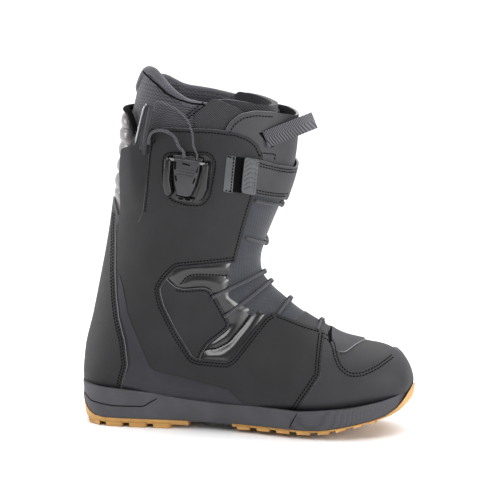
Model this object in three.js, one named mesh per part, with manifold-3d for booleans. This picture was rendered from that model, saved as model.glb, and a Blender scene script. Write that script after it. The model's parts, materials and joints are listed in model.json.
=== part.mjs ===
// Snowboard boot, right foot, in millimetres. +X is the toe, -Y the outer (lateral) side, +Z up.
// The upper is one smooth boot shape, given by stations from the top of the leg to the tip of the
// toe. Every layer of the upper is a shell between two offsets of that shape, and every panel is a
// layer cut by its outline in the side view.
import * as THREE from 'three';
import { mergeVertices } from 'three/addons/utils/BufferGeometryUtils.js';
import Module from 'manifold-3d';

const wasm = await Module();
wasm.setup();

// ---- driving dimensions ----
const LENGTH = 306; // heel to toe
const HEIGHT = 326; // ground to the highest point of the collar
const WIDTH = 108; // across the widest part of the leg
const SOLE_BOTTOM_TO_WELT = 8; // thickness of the gum sole with its lugs
const LUG_DEPTH = 4.5;
const GAP = 0.4; // air left between touching pieces
const LINER = [-12.5, -6]; // inner and outer offset of each layer
const BASE = [-5.5, -2.6];
const PANEL = [-2.2, 0];
const OVERLAY = [0.35, 1.6];
const FLAP = [1.0, 2.4];
const STRAP = [2.3, 4.3];
const LACE_RADIUS = 1.4;
const SOCK_ROWS = 21; // facets of every layer, along the boot and round it
const SOCK_SIDES = 18;
const ANKLE = new THREE.Vector2(82, 112); // axis of the cuff's forward flex
const FLEX_DEG = 15;
const FRONT_RAY_DEG = 24.5; // underside of the cuff, in front of the ankle axis
const REAR_RAY_DEG = 147;

// The outlines below are drawn for a boot of this length, height and width, and then stretched to
// the size asked for. Thicknesses, gaps, cords and the lock's parts keep their own sizes.
const DRAWN = { length: 306, height: 326, width: 108 };
const STRETCH = { x: LENGTH / DRAWN.length, y: WIDTH / DRAWN.width, z: HEIGHT / DRAWN.height };

// Stations: front point, back point (x, z), outer and inner half width, position of the widest
// place from front to back, and squareness of the front and back halves.
const STATIONS = [
  { front: [200, 305], back: [54, 345], half: [54, 54], widest: 0.5, square: [2.2, 2.2] },
  { front: [200, 280], back: [45, 300], half: [54, 54], widest: 0.5, square: [2.2, 2.2] },
  { front: [199, 256], back: [38, 270], half: [54, 54], widest: 0.5, square: [2.2, 2.2] },
  { front: [195, 232], back: [37, 243], half: [53, 53], widest: 0.5, square: [2.2, 2.2] },
  { front: [187, 207], back: [34, 215], half: [51, 51], widest: 0.5, square: [2.1, 2.1] },
  { front: [178, 186], back: [30, 188], half: [49, 49], widest: 0.5, square: [2.1, 2.0] },
  { front: [171, 168], back: [25, 160], half: [47, 47], widest: 0.48, square: [2.1, 1.9] },
  { front: [167, 152], back: [19, 131], half: [45, 45], widest: 0.45, square: [2.1, 1.9] },
  { front: [169, 139], back: [12, 98], half: [43.5, 43.5], widest: 0.45, square: [2.0, 1.9] },
  { front: [177, 129], back: [4, 62], half: [42.5, 42], widest: 0.5, square: [2.0, 2.1] },
  { front: [188, 120], back: [8, 29], half: [42, 42], widest: 0.6, square: [1.9, 2.6] },
  { front: [202, 109], back: [48, 24], half: [42.5, 43], widest: 0.68, square: [1.9, 3.0] },
  { front: [221, 97.5], back: [110, 23], half: [45.5, 45], widest: 0.72, square: [1.9, 3.2] },
  { front: [241, 87], back: [175, 20], half: [49.5, 50], widest: 0.74, square: [1.9, 3.2] },
  { front: [261, 82], back: [225, 19], half: [50, 51], widest: 0.72, square: [2.0, 3.2] },
  { front: [279, 79], back: [258, 22], half: [44, 46], widest: 0.66, square: [2.0, 3.0] },
  { front: [292, 72.5], back: [279, 26], half: [36, 38], widest: 0.6, square: [2.1, 2.8] },
  { front: [300, 62], back: [293, 31], half: [27, 29], widest: 0.55, square: [2.1, 2.4] },
  { front: [304.5, 51], back: [301.5, 36], half: [16, 17], widest: 0.5, square: [2.1, 2.2] },
  { front: [306, 46], back: [305.6, 41], half: [5, 5], widest: 0.5, square: [2, 2] },
];
const LAST = STATIONS.length - 1;
const TOE_START = LAST - 3; // from here on a layer also moves along the foot

// Side-view lines of the upper, from heel to toe or from back to front.
const BOTTOM_LINE = [[-20, 31], [8, 29], [48, 24], [110, 23], [175, 20], [225, 19], [258, 22],
  [279, 26], [293, 31], [302, 36.5], [330, 46]];
const WELT_LINE = [[-20, 37], [20, 35.5], [48, 34], [76, 32], [122, 29], [168, 25.5], [213, 24],
  [258, 28], [284, 33], [307, 39], [330, 44]];
const SOLE_LINE = [[-10, 6], [3, 3], [14, 0], [225, 0], [250, 5], [275, 11], [294, 20], [303, 29],
  [312, 40]];
const CUFF_TOP = [[57, 256], [66, 266], [78, 271], [110, 272.5], [150, 271], [164, 267], [171, 263],
  [176, 257]];
const CUFF_FRONT = [[177.5, 249], [172.5, 226], [168, 210], [161, 189], [155, 168], [150.5, 152],
  [150, 142]];
const SPINE_LINE = [[55, 253], [51, 232], [47.5, 210], [44.5, 189], [40, 172], [38, 150]];
const EYESTAY = [[147, 136], [144.5, 122], [149.5, 115.5], [156, 112], [164, 109], [177, 106],
  [188, 103], [200, 99], [211, 95], [226, 91]];
const TOE_SEAM = [[226, 91], [228, 71], [230, 54], [221, 40], [209, 22]];
const COLLAR_RIM = [[30, 334], [52, 326], [62, 325], [71, 323], [88, 313], [98, 304], [109, 298],
  [124, 295], [138, 294], [152, 293]];

// ---- small geometry helpers ----
const blend = (a, b, t) => a + (b - a) * t;
const smooth = (a, b, v) => THREE.MathUtils.smoothstep(v, a, b);

function catmull(a, b, c, d, t) {
  return 0.5 * (2 * b + (c - a) * t + (2 * a - 5 * b + 4 * c - d) * t * t
    + (3 * b - a - 3 * c + d) * t * t * t);
}

function stationValue(read, s) {
  const i = Math.min(Math.floor(s), LAST - 1);
  const at = (k) => read(STATIONS[Math.min(Math.max(k, 0), LAST)]);
  return catmull(at(i - 1), at(i), at(i + 1), at(i + 2), s - i);
}

function lineThrough(s, end) {
  return new THREE.Vector2(stationValue((k) => k[end][0], s) * STRETCH.x,
    stationValue((k) => k[end][1], s) * STRETCH.z);
}

// How far a cut's end moves along the cut for one millimetre of layer offset.
function endStretch(s, end, along) {
  const step = 0.02;
  const tangent = lineThrough(Math.min(s + step, LAST), end)
    .sub(lineThrough(Math.max(s - step, 0), end)).normalize();
  const across = Math.abs(tangent.x * along.y - tangent.y * along.x);
  return 1 / Math.max(across, 0.5);
}

// The section of the boot at station s, moved outwards by offset.
function section(s, offset) {
  const front = lineThrough(s, 'front');
  const back = lineThrough(s, 'back');
  const along = back.clone().sub(front);
  const length = along.length();
  along.divideScalar(length);
  const frontMove = offset * endStretch(s, 'front', along);
  const backMove = offset * endStretch(s, 'back', along);
  const room = length * 0.35;
  front.addScaledVector(along, -Math.max(frontMove, -room));
  back.addScaledVector(along, Math.max(backMove, -room));
  const slide = offset * smooth(TOE_START, LAST, s);
  front.x += slide;
  back.x += slide;
  const half = [0, 1].map((k) => {
    const value = stationValue((st) => st.half[k], s) * STRETCH.y;
    return Math.max(value + offset, value * 0.3);
  });
  return { front, back, half,
    widest: stationValue((k) => k.widest, s),
    square: [0, 1].map((e) => stationValue((k) => k.square[e], s)) };
}

// Angle 0 is the front or top of the section, PI its back or bottom; 0..PI is the outer side.
function pointOnSection(cut, angle) {
  const turn = ((angle % (2 * Math.PI)) + 2 * Math.PI) % (2 * Math.PI);
  const side = turn <= Math.PI ? 0 : 1;
  const t = side === 0 ? turn : 2 * Math.PI - turn;
  const frontHalf = t < Math.PI / 2;
  const power = 2 / cut.square[frontHalf ? 0 : 1];
  const reach = Math.abs(Math.cos(t)) ** power;
  const q = frontHalf ? cut.widest * (1 - reach) : cut.widest + (1 - cut.widest) * reach;
  const out = Math.abs(Math.sin(t)) ** power * cut.half[side];
  return new THREE.Vector3(blend(cut.front.x, cut.back.x, q), side === 0 ? -out : out,
    blend(cut.front.y, cut.back.y, q));
}

const surface = (s, angle, offset) => pointOnSection(section(s, offset), angle);

// Station and angle of the outer-side surface point drawn at (x, z) in the side view.
function locate(drawnX, drawnZ) {
  const x = drawnX * STRETCH.x;
  const z = drawnZ * STRETCH.z;
  let low = 0;
  let high = LAST;
  for (let k = 0; k < 40; k += 1) {
    const mid = (low + high) / 2;
    const { front, back } = section(mid, 0);
    const cross = (back.x - front.x) * (z - front.y) - (back.y - front.y) * (x - front.x);
    if (cross > 0) low = mid;
    else high = mid;
  }
  const s = (low + high) / 2;
  const cut = section(s, 0);
  const length = cut.back.distanceTo(cut.front);
  const q = THREE.MathUtils.clamp(Math.hypot(x - cut.front.x, z - cut.front.y) / length, 0.001, 0.999);
  const half = q < cut.widest ? 0 : 1;
  const reach = half === 0 ? (cut.widest - q) / cut.widest : (q - cut.widest) / (1 - cut.widest);
  const t = Math.acos(THREE.MathUtils.clamp(reach ** (cut.square[half] / 2), 0, 1));
  return { s, angle: half === 0 ? t : Math.PI - t };
}

const sidePoint = (x, z, offset) => {
  const at = locate(x, z);
  return surface(at.s, at.angle, offset);
};

// ---- solids ----
function welded(geometry) {
  const bare = geometry.clone();
  bare.deleteAttribute('normal');
  bare.deleteAttribute('uv');
  return mergeVertices(bare, 1e-4);
}

// Corners are welded before a piece is turned, so that equal corners stay equal.
function toSolid(geometry, frame = new THREE.Matrix4()) {
  const merged = welded(geometry).applyMatrix4(frame);
  return new wasm.Manifold(new wasm.Mesh({ numProp: 3,
    vertProperties: Float32Array.from(merged.attributes.position.array),
    triVerts: Uint32Array.from(merged.index.array) }));
}

function toGeometry(solid) {
  const mesh = solid.getMesh();
  const geometry = new THREE.BufferGeometry();
  geometry.setAttribute('position', new THREE.BufferAttribute(mesh.vertProperties, 3));
  geometry.setIndex(new THREE.BufferAttribute(mesh.triVerts, 1));
  return geometry;
}

// Rings of points round the boot at one offset, from the top of the leg to the toe.
function skinPoints(offset) {
  const points = [];
  for (let i = 0; i <= SOCK_ROWS; i += 1) {
    const cut = section((LAST * i) / SOCK_ROWS, offset);
    for (let k = 0; k < SOCK_SIDES; k += 1) {
      points.push(pointOnSection(cut, (2 * Math.PI * k) / SOCK_SIDES));
    }
  }
  return points;
}

// The point in the middle of ring i, among points that begin at the given index.
function ringMiddle(points, first, i) {
  const start = first + i * SOCK_SIDES;
  return points[start].clone().lerp(points[start + SOCK_SIDES / 2], 0.5);
}

// A closed sock between two offsets of the boot shape, open only at the top of the leg.
function sock([inner, outer]) {
  const points = [...skinPoints(outer), ...skinPoints(inner)];
  const skinSize = points.length / 2;
  const faces = [];
  const at = (skin, i, k) => skin * skinSize + i * SOCK_SIDES + (k % SOCK_SIDES);
  const quad = (a, b, c, d) => faces.push(a, b, c, a, c, d);
  for (let i = 0; i < SOCK_ROWS; i += 1) {
    for (let k = 0; k < SOCK_SIDES; k += 1) {
      quad(at(0, i, k), at(0, i, k + 1), at(0, i + 1, k + 1), at(0, i + 1, k));
      quad(at(1, i, k), at(1, i + 1, k), at(1, i + 1, k + 1), at(1, i, k + 1));
    }
  }
  for (let k = 0; k < SOCK_SIDES; k += 1) {
    quad(at(0, 0, k + 1), at(0, 0, k), at(1, 0, k), at(1, 0, k + 1));
  }
  for (const skin of [0, 1]) {
    const tip = points.length;
    points.push(ringMiddle(points, skin * skinSize, SOCK_ROWS));
    for (let k = 0; k < SOCK_SIDES; k += 1) {
      const pair = [at(skin, SOCK_ROWS, k), at(skin, SOCK_ROWS, k + 1)];
      if (skin === 0) faces.push(pair[0], pair[1], tip);
      else faces.push(pair[1], pair[0], tip);
    }
  }
  return solidFrom(points, faces);
}

// The whole boot shape at one offset, as a filled body.
function filledBoot(offset) {
  const points = skinPoints(offset);
  const faces = [];
  const at = (i, k) => i * SOCK_SIDES + (k % SOCK_SIDES);
  for (let i = 0; i < SOCK_ROWS; i += 1) {
    for (let k = 0; k < SOCK_SIDES; k += 1) {
      faces.push(at(i, k), at(i, k + 1), at(i + 1, k + 1), at(i, k), at(i + 1, k + 1), at(i + 1, k));
    }
  }
  for (const i of [0, SOCK_ROWS]) {
    const centre = points.length;
    points.push(ringMiddle(points, 0, i));
    for (let k = 0; k < SOCK_SIDES; k += 1) {
      if (i === 0) faces.push(at(i, k + 1), at(i, k), centre);
      else faces.push(at(i, k), at(i, k + 1), centre);
    }
  }
  return solidFrom(points, faces);
}

function geometryFrom(points, faces) {
  const geometry = new THREE.BufferGeometry();
  const flat = points.flatMap((p) => [p.x, p.y, p.z]);
  geometry.setAttribute('position', new THREE.Float32BufferAttribute(flat, 3));
  geometry.setIndex(faces);
  return geometry;
}

// The solid with these faces, turned over if they all point in.
function solidFrom(points, faces) {
  const solid = toSolid(geometryFrom(points, faces));
  if (solid.volume() > 0) return solid;
  const flipped = [];
  for (let k = 0; k < faces.length; k += 3) flipped.push(faces[k], faces[k + 2], faces[k + 1]);
  return toSolid(geometryFrom(points, flipped));
}

const EVERYWHERE = [[-60, -60], [400, -60], [400, 420], [-60, 420]];
const SIDES = { outer: [-120, -0.2], inner: [0.2, 120], both: [-120, 120] };

// A block with the given side-view outline (x, z), through one side of the boot or both.
function block(outline, side = 'both') {
  const [low, high] = SIDES[side];
  return slab(outline, low, high);
}

// A block with a side-view outline, from y = low to y = high.
function slab(outline, low, high) {
  const shape = new THREE.Shape(outline.map(([x, z]) => new THREE.Vector2(x * STRETCH.x, z * STRETCH.z)));
  const geometry = new THREE.ExtrudeGeometry(shape, { depth: high - low, bevelEnabled: false });
  geometry.rotateX(Math.PI / 2);
  geometry.translate(0, high, 0);
  return toSolid(geometry);
}

// The outline moved outwards by distance, for the air round a piece let into another.
function grow(outline, distance) {
  const area = THREE.ShapeUtils.area(outline.map(([x, y]) => new THREE.Vector2(x, y)));
  const sign = area > 0 ? 1 : -1;
  return outline.map((point, k) => {
    const before = outline[(k + outline.length - 1) % outline.length];
    const after = outline[(k + 1) % outline.length];
    const a = new THREE.Vector2(point[0] - before[0], point[1] - before[1]).normalize();
    const b = new THREE.Vector2(after[0] - point[0], after[1] - point[1]).normalize();
    const normal = new THREE.Vector2(a.y + b.y, -a.x - b.x).normalize().multiplyScalar(sign);
    const tilt = Math.max(0.4, Math.abs(normal.x * a.y - normal.y * a.x));
    return [point[0] + (normal.x * distance) / tilt, point[1] + (normal.y * distance) / tilt];
  });
}

const reversed = (line) => [...line].reverse();
const raised = (line, height) => line.map(([x, z]) => [x, z + height]);
const above = (line) => block([...line, [line.at(-1)[0], 420], [line[0][0], 420]]);
const below = (line) => block([...line, [line.at(-1)[0], -60], [line[0][0], -60]]);

function rayFrom(origin, degrees, length) {
  const angle = THREE.MathUtils.degToRad(degrees);
  return [origin.x + length * Math.cos(angle), origin.y + length * Math.sin(angle)];
}

// A box in a local frame: centre, and half sizes along the frame's axes.
function boxAt(frame, centre, size) {
  const geometry = new THREE.BoxGeometry(size[0], size[1], size[2]);
  geometry.translate(centre[0], centre[1], centre[2]);
  return toSolid(geometry, frame);
}

// A rod along the local x axis.
function rodAt(frame, centre, radius, length, sides = 12) {
  const geometry = new THREE.CylinderGeometry(radius, radius, length, sides);
  geometry.rotateZ(Math.PI / 2);
  geometry.translate(centre[0], centre[1], centre[2]);
  return toSolid(geometry, frame);
}

// A round cord through the points.
function tube(points, radius, steps, sides = 7) {
  const path = new THREE.CatmullRomCurve3(points, false, 'centripetal');
  const shape = new THREE.Shape();
  for (let k = 0; k < sides; k += 1) {
    const angle = (2 * Math.PI * k) / sides;
    const corner = [radius * Math.cos(angle), radius * Math.sin(angle)];
    if (k === 0) shape.moveTo(corner[0], corner[1]);
    else shape.lineTo(corner[0], corner[1]);
  }
  shape.closePath();
  const geometry = new THREE.ExtrudeGeometry(shape, { steps, extrudePath: path, bevelEnabled: false });
  return toSolid(geometry);
}

const boot = new THREE.Group();
const FINISH = {
  leatherette: ['#34353a', 0.75, 0],
  textile: ['#2b2c30', 0.95, 0],
  gloss: ['#4a4c54', 0.35, 0],
  tpu: ['#4b4f57', 0.5, 0],
  foam: ['#2e2f33', 0.95, 0],
  midsole: ['#3a3a3f', 0.85, 0],
  gum: ['#a8713f', 0.7, 0],
  board: ['#77706a', 0.9, 0],
  cord: ['#232429', 0.9, 0],
  webbing: ['#3c3d43', 0.95, 0],
  metal: ['#8e9197', 0.35, 1],
  plastic: ['#26272b', 0.45, 0],
};

function add(name, solid, finish) {
  const [color, roughness, metalness] = FINISH[finish];
  const material = new THREE.MeshStandardMaterial({ color, roughness, metalness });
  const mesh = new THREE.Mesh(toGeometry(largest(solid)), material);
  mesh.name = name;
  boot.add(mesh);
}

// The biggest separate body of a cut: thin slivers left beside it are dropped.
function largest(solid) {
  const parts = solid.decompose();
  return parts.reduce((best, part) => (part.volume() > best.volume() ? part : best), parts[0]);
}

// ---- zones that move together ----
const frontGapDeg = FRONT_RAY_DEG - FLEX_DEG - 1.5;
const cuffZone = block([[ANKLE.x, ANKLE.y], rayFrom(ANKLE, FRONT_RAY_DEG, 320), [400, 420], [-60, 420],
  rayFrom(ANKLE, REAR_RAY_DEG, 160)]);
const underAnkle = new THREE.Vector2(ANKLE.x, ANKLE.y - 1);
const footZone = block([[ANKLE.x + 1, ANKLE.y - 1], rayFrom(underAnkle, REAR_RAY_DEG, 160), [-60, -40],
  [400, -40], rayFrom(ANKLE, frontGapDeg, 320)]);
const aboveBoard = above(raised(BOTTOM_LINE, 3));
const belowBoard = below(raised(BOTTOM_LINE, 2.5));

const linerSock = sock(LINER);
const baseSock = sock(BASE);
const panelSock = sock(PANEL);
const overlaySock = sock(OVERLAY);

// ---- sole unit ----
const SOLE_PLAN = [[2, 2], [6, -20], [20, -36], [42, -41.5], [90, -39], [130, -38.5], [170, -45],
  [212, -55], [250, -53], [280, -40.5], [298, -21], [307.5, 2], [300, 25], [282, 44], [250, 55],
  [212, 56.5], [170, 46], [130, 37], [90, 38.5], [42, 41.5], [20, 36], [6, 21]];
const SOLE_PLAN_STEPS = 56;

// An upright block with the sole's plan, moved in by inset.
function solePlan(inset, from, to) {
  const corners = SOLE_PLAN.map(([x, y]) => new THREE.Vector3(x * STRETCH.x, y * STRETCH.y, 0));
  const curve = new THREE.CatmullRomCurve3(corners, true, 'centripetal');
  const outline = curve.getPoints(SOLE_PLAN_STEPS).slice(0, -1).map((p) => [p.x, p.y]);
  const shape = new THREE.Shape(grow(outline, -inset).map(([x, y]) => new THREE.Vector2(x, y)));
  const geometry = new THREE.ExtrudeGeometry(shape, { depth: to - from, bevelEnabled: false });
  geometry.translate(0, 0, from);
  return toSolid(geometry);
}

const between = (low, high) => above(low).intersect(below(high));
const plan = solePlan(0, -2, 60);
const gumPlan = solePlan(1.5, -2, 60);
const gumTop = raised(SOLE_LINE, SOLE_BOTTOM_TO_WELT - GAP);
const lugTop = raised(SOLE_LINE, LUG_DEPTH);
const upperBody = filledBoot(0.5);

const LUG_ROWS = [-45, -27, -9, 9, 27, 45];
const LUG_WIDTH = 13;

// Rows of square lugs across the sole, every pitch from one x to another.
function lugs(from, to, pitch, width) {
  let body = null;
  for (let x = from; x + width <= to + 0.1; x += pitch) {
    for (const y of LUG_ROWS) {
      const geometry = new THREE.BoxGeometry(width, LUG_WIDTH, 60);
      geometry.translate((x + width / 2) * STRETCH.x, y * STRETCH.y, 20);
      const lug = toSolid(geometry);
      body = body ? body.add(lug) : lug;
    }
  }
  return body;
}

const gumSlab = between(raised(SOLE_LINE, LUG_DEPTH - 0.5), gumTop).intersect(gumPlan);
const lugBand = between(SOLE_LINE, lugTop).intersect(gumPlan);
const HEEL_GUM_END = 108;
const FOREFOOT_GUM_START = 152;
const heelStretch = block([[-20, -20], [HEEL_GUM_END, -20], [HEEL_GUM_END, 90], [-20, 90]]);
const TOE_GUM_END = 303.5;
const toeStretch = block([[FOREFOOT_GUM_START, -20], [TOE_GUM_END, -20], [TOE_GUM_END, 90],
  [FOREFOOT_GUM_START, 90]]);
const heelLugs = lugBand.intersect(lugs(4, HEEL_GUM_END, 21, 15));
const forefootLugs = lugBand.intersect(lugs(FOREFOOT_GUM_START + 1, 300, 20, 13));
add('outsole_heel', gumSlab.add(heelLugs).intersect(heelStretch), 'gum');
add('outsole_forefoot', gumSlab.add(forefootLugs).intersect(toeStretch), 'gum');

const BUMPER_START = 208;
const midsoleBody = between(raised(SOLE_LINE, SOLE_BOTTOM_TO_WELT), WELT_LINE).intersect(plan)
  .subtract(upperBody);
const bumperStretch = block([[BUMPER_START + GAP, -20], [340, -20], [340, 90], [BUMPER_START + GAP, 90]]);
const midsoleStretch = block([[-20, -20], [BUMPER_START, -20], [BUMPER_START, 90], [-20, 90]]);
const PAD = { x: [18, 78], half: 24, z: [13, 22.5] };
const SHANK = { x: [92, 176], half: 12, z: [15.5, 18.5] };
const WELL_RISE = 40; // a well goes up through the top of the midsole
const insertBlock = ({ x, half, z }) => (
  slab([[x[0], z[0]], [x[1], z[0]], [x[1], z[1]], [x[0], z[1]]], -half, half));
const wellFor = ({ x, half, z }) => insertBlock({ x: [x[0] - GAP, x[1] + GAP], half: half + GAP,
  z: [z[0] - GAP, z[1] + WELL_RISE] });
const underUpper = below(raised(BOTTOM_LINE, -1));
add('midsole', midsoleBody.intersect(midsoleStretch).subtract(wellFor(PAD)).subtract(wellFor(SHANK)),
  'midsole');
add('toe_bumper', midsoleBody.intersect(bumperStretch), 'gum');
add('heel_crash_pad', insertBlock(PAD).intersect(underUpper), 'foam');
add('shank', insertBlock(SHANK).intersect(underUpper), 'tpu');

// ---- lower: layers of the foot ----
const boardLayer = panelSock.intersect(belowBoard);
add('lasting_board', boardLayer.intersect(footZone), 'board');

const HEEL_COUNTER = [[-30, 5], [62, 5], [58, 60], [44, 92], [-30, 100]];
const TOE_PUFF = [[250, 0], [340, 0], [340, 100], [262, 100]];
const footBase = baseSock.intersect(footZone);
add('heel_counter', footBase.intersect(block(HEEL_COUNTER)), 'board');
add('toe_puff', footBase.intersect(block(TOE_PUFF)), 'board');
add('shell_base_lower', footBase.subtract(block(grow(HEEL_COUNTER, GAP)))
  .subtract(block(grow(TOE_PUFF, GAP))), 'textile');

const footPanels = panelSock.intersect(footZone).intersect(aboveBoard);
const INSET = [[88, 121], [90, 115], [116, 66], [147, 64], [174, 102], [164, 107], [150, 112], [143, 118],
  [140, 130], [90, 130]];
const QUARTER = [[-40, 0], ...reversed(TOE_SEAM), ...reversed(EYESTAY), [147, 170], [-40, 200]];
const quarter = footPanels.intersect(block(QUARTER)).subtract(block(grow(INSET, GAP)));
const inset = footPanels.intersect(block(INSET));
for (const side of ['outer', 'inner']) {
  const label = side === 'outer' ? 'lateral' : 'medial';
  add(`quarter_${label}`, quarter.intersect(block(EVERYWHERE, side)), 'leatherette');
  add(`flex_inset_${label}`, inset.intersect(block(EVERYWHERE, side)), 'gloss');
}
const TONGUE_LOWER = [...EYESTAY, [236, 86], [243, 82], [246, 100], [200, 160], [147, 170]];
add('tongue_lower', footPanels.intersect(block(TONGUE_LOWER)).subtract(block(grow(QUARTER, GAP))), 'textile');
const TOE_CAP = [...TOE_SEAM, [209, -20], [340, -20], [340, 120], [244, 120], [243.6, 80], [236, 85]];
add('toe_cap', footPanels.intersect(block(TOE_CAP)).subtract(block(grow(QUARTER, GAP)))
  .subtract(block(grow(TONGUE_LOWER, GAP))), 'leatherette');

const footOverlay = overlaySock.intersect(footZone).intersect(above(raised(WELT_LINE, 0.6)));
const TONGUE_BASE = [[232, 103], [233, 96], [242, 76], [252, 76], [261, 86], [265, 98]];
add('tongue_base', footOverlay.intersect(block(TONGUE_BASE)), 'textile');
const MUDGUARD = [[230, 90], [242, 80], [246, 71], [251, 63], [257, 57], [264, 57], [271, 59], [284, 66],
  [293, 74], [303, 88], [340, 88], [340, -20], [212, -20], [213, 26], [222, 39], [231, 54]];
add('toe_mudguard', footOverlay.intersect(block(MUDGUARD)).subtract(block(grow(TONGUE_BASE, GAP))),
  'leatherette');

const BACKSTAY = [[-30, 20], [44, 20], [45, 32], [54, 58], [49, 84], [43, 100], [41, 116], [40, 142],
  [40, 176], [41, 193], [37, 203], [-30, 208]];
const WEDGE = [[46, 34], [56, 59], [51, 85], [44.5, 107], [43.5, 136], [52, 105], [73, 58], [78, 54],
  [149, 40], [157, 32], [165, 27], [165, 20], [46, 20]];
const aboveWelt = above(raised(WELT_LINE, 0.6));
add('backstay', overlaySock.intersect(block(BACKSTAY)).intersect(aboveWelt), 'leatherette');
const FLAP_OUTLINE = [[91, 131], [86, 126], [89, 117], [116, 67], [120, 66], [126, 78], [143, 92],
  [145, 97], [133, 121], [128, 129], [104, 129]];
const flapSock = sock(FLAP);
for (const side of ['outer', 'inner']) {
  const label = side === 'outer' ? 'lateral' : 'medial';
  add(`ankle_wedge_${label}`, overlaySock.intersect(block(WEDGE, side)).intersect(aboveWelt)
    .subtract(block(grow(BACKSTAY, GAP))), 'tpu');
  add(`ankle_flap_${label}`, flapSock.intersect(block(FLAP_OUTLINE, side)), 'leatherette');
}

// ---- laces ----
// A lace crosses the front from side to side, from an end on the side to the middle of the front.
function lacePath(end, middle, endOffset, middleOffset) {
  const from = locate(end[0], end[1]);
  const to = locate(middle[0], middle[1]);
  const points = [];
  const half = 8;
  for (let k = -half; k <= half; k += 1) {
    const t = Math.abs(k) / half;
    const s = blend(to.s, from.s, t ** 1.6);
    const angle = from.angle * t * (k < 0 ? 1 : -1);
    points.push(surface(s, angle, blend(middleOffset, endOffset, t)));
  }
  return points;
}
const LACES = [
  ['lace_ankle_upper', [131, 121], [169, 139.5], 4.2, 2.4],
  ['lace_ankle_lower', [140, 104], [176, 131], 4.2, 2.4],
  ['lace_instep', [186, 104], [194, 116], 2.4, 2.4],
  ['lace_toe', [221, 90], [223, 97], 2.4, 2.4],
  ['lace_shin_lower', [160, 174], [172, 167], 2.4, 2.4],
  ['lace_shin_upper', [169, 208], [184, 202], 2.4, 2.4],
];
for (const [name, end, middle, endOffset, middleOffset] of LACES) {
  add(name, tube(lacePath(end, middle, endOffset, middleOffset), LACE_RADIUS, 18), 'cord');
}

// ---- liner ----
const rimLine = (drop) => raised([...COLLAR_RIM, [210, 285]], -drop);
// The liner is open at the front, just inside the cuff's front edges, so that its tongue can swing out.
const LINER_TONGUE_LINE = [[178, 310], [178, 262], [178.5, 249], [173.5, 226], [169, 210], [162, 189],
  [156, 168], [152, 152], [152, 149]];
const linerFrontGrown = block(grow([...LINER_TONGUE_LINE, [330, 149], [330, 310]], 1));
const RIM_BAND = 8;
add('liner_foot', linerSock.intersect(footZone), 'foam');
add('liner_cuff', linerSock.intersect(cuffZone).subtract(linerFrontGrown)
  .intersect(below(rimLine(RIM_BAND))), 'foam');
const BINDING_FRONT = [[151.5, 240], [330, 240], [330, 340], [151.5, 340]];
add('collar_binding', sock([LINER[0] - 1, LINER[1] + 1.2]).subtract(block(BINDING_FRONT))
  .intersect(between(rimLine(RIM_BAND - GAP), rimLine(0))), 'textile');
add('footbed', sock([-17, LINER[0] - GAP])
  .intersect(below(raised(BOTTOM_LINE, 17)))
  .intersect(block([[24, 0], [282, 0], [282, 80], [24, 80]])), 'foam');

// ---- cuff ----
const CUFF = [...CUFF_TOP, ...CUFF_FRONT, [150, 100], [30, 100], ...reversed(SPINE_LINE)];
const SPINE_TOP = [[-20, 286], [44, 286], [50, 282], [54, 270], [57, 258]];
const SPINE = [...SPINE_TOP, ...SPINE_LINE, [38, 90], [-40, 90], [-40, 286]];
const GUSSET = [[88, 120], [92, 137], [100, 147], [149.5, 152], [149.5, 120]];
const cuffPanels = panelSock.intersect(cuffZone);
add('spine_panel', cuffPanels.intersect(block(SPINE)).subtract(block(grow(CUFF, GAP))), 'textile');
const frontCut = block(grow([...CUFF_TOP.slice(4), ...CUFF_FRONT, [150, 90], [330, 90], [330, 330],
  [150, 330]], GAP));
const baseTop = block([[-40, 80], [-40, 282], [46, 282], [54, 268], [60, 262], [80, 268], [150, 268],
  [172, 258], [179, 248], [179, 80]]);
add('shell_base_cuff', baseSock.intersect(cuffZone).intersect(baseTop).subtract(frontCut), 'textile');
// The flap's outline turned back about the ankle: where the flap meets a cuff that leans forward.
function flapSeenBy(leanDeg) {
  const back = THREE.MathUtils.degToRad(leanDeg);
  return grow(FLAP_OUTLINE, 2).map(([x, z]) => {
    const turned = new THREE.Vector2(x, z).rotateAround(ANKLE, back);
    return [turned.x, turned.y];
  });
}
let gusset = cuffPanels.intersect(block(GUSSET));
for (const share of [0, 0.25, 0.5, 0.75, 1]) gusset = gusset.subtract(block(flapSeenBy(FLEX_DEG * share)));
for (const side of ['outer', 'inner']) {
  const label = side === 'outer' ? 'lateral' : 'medial';
  add(`cuff_${label}`, cuffPanels.intersect(block(CUFF, side)).subtract(block(grow(GUSSET, GAP))),
    'leatherette');
  add(`ankle_gusset_${label}`, gusset.intersect(block(EVERYWHERE, side)), 'gloss');
}
const SPINE_BAND = [[-40, 278], [38, 278], [46, 268], [50.5, 256], [57, 258], [55, 270], [50, 284],
  [44, 289], [-40, 289]];
add('spine_binding', overlaySock.intersect(block(SPINE_BAND)), 'textile');

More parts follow.
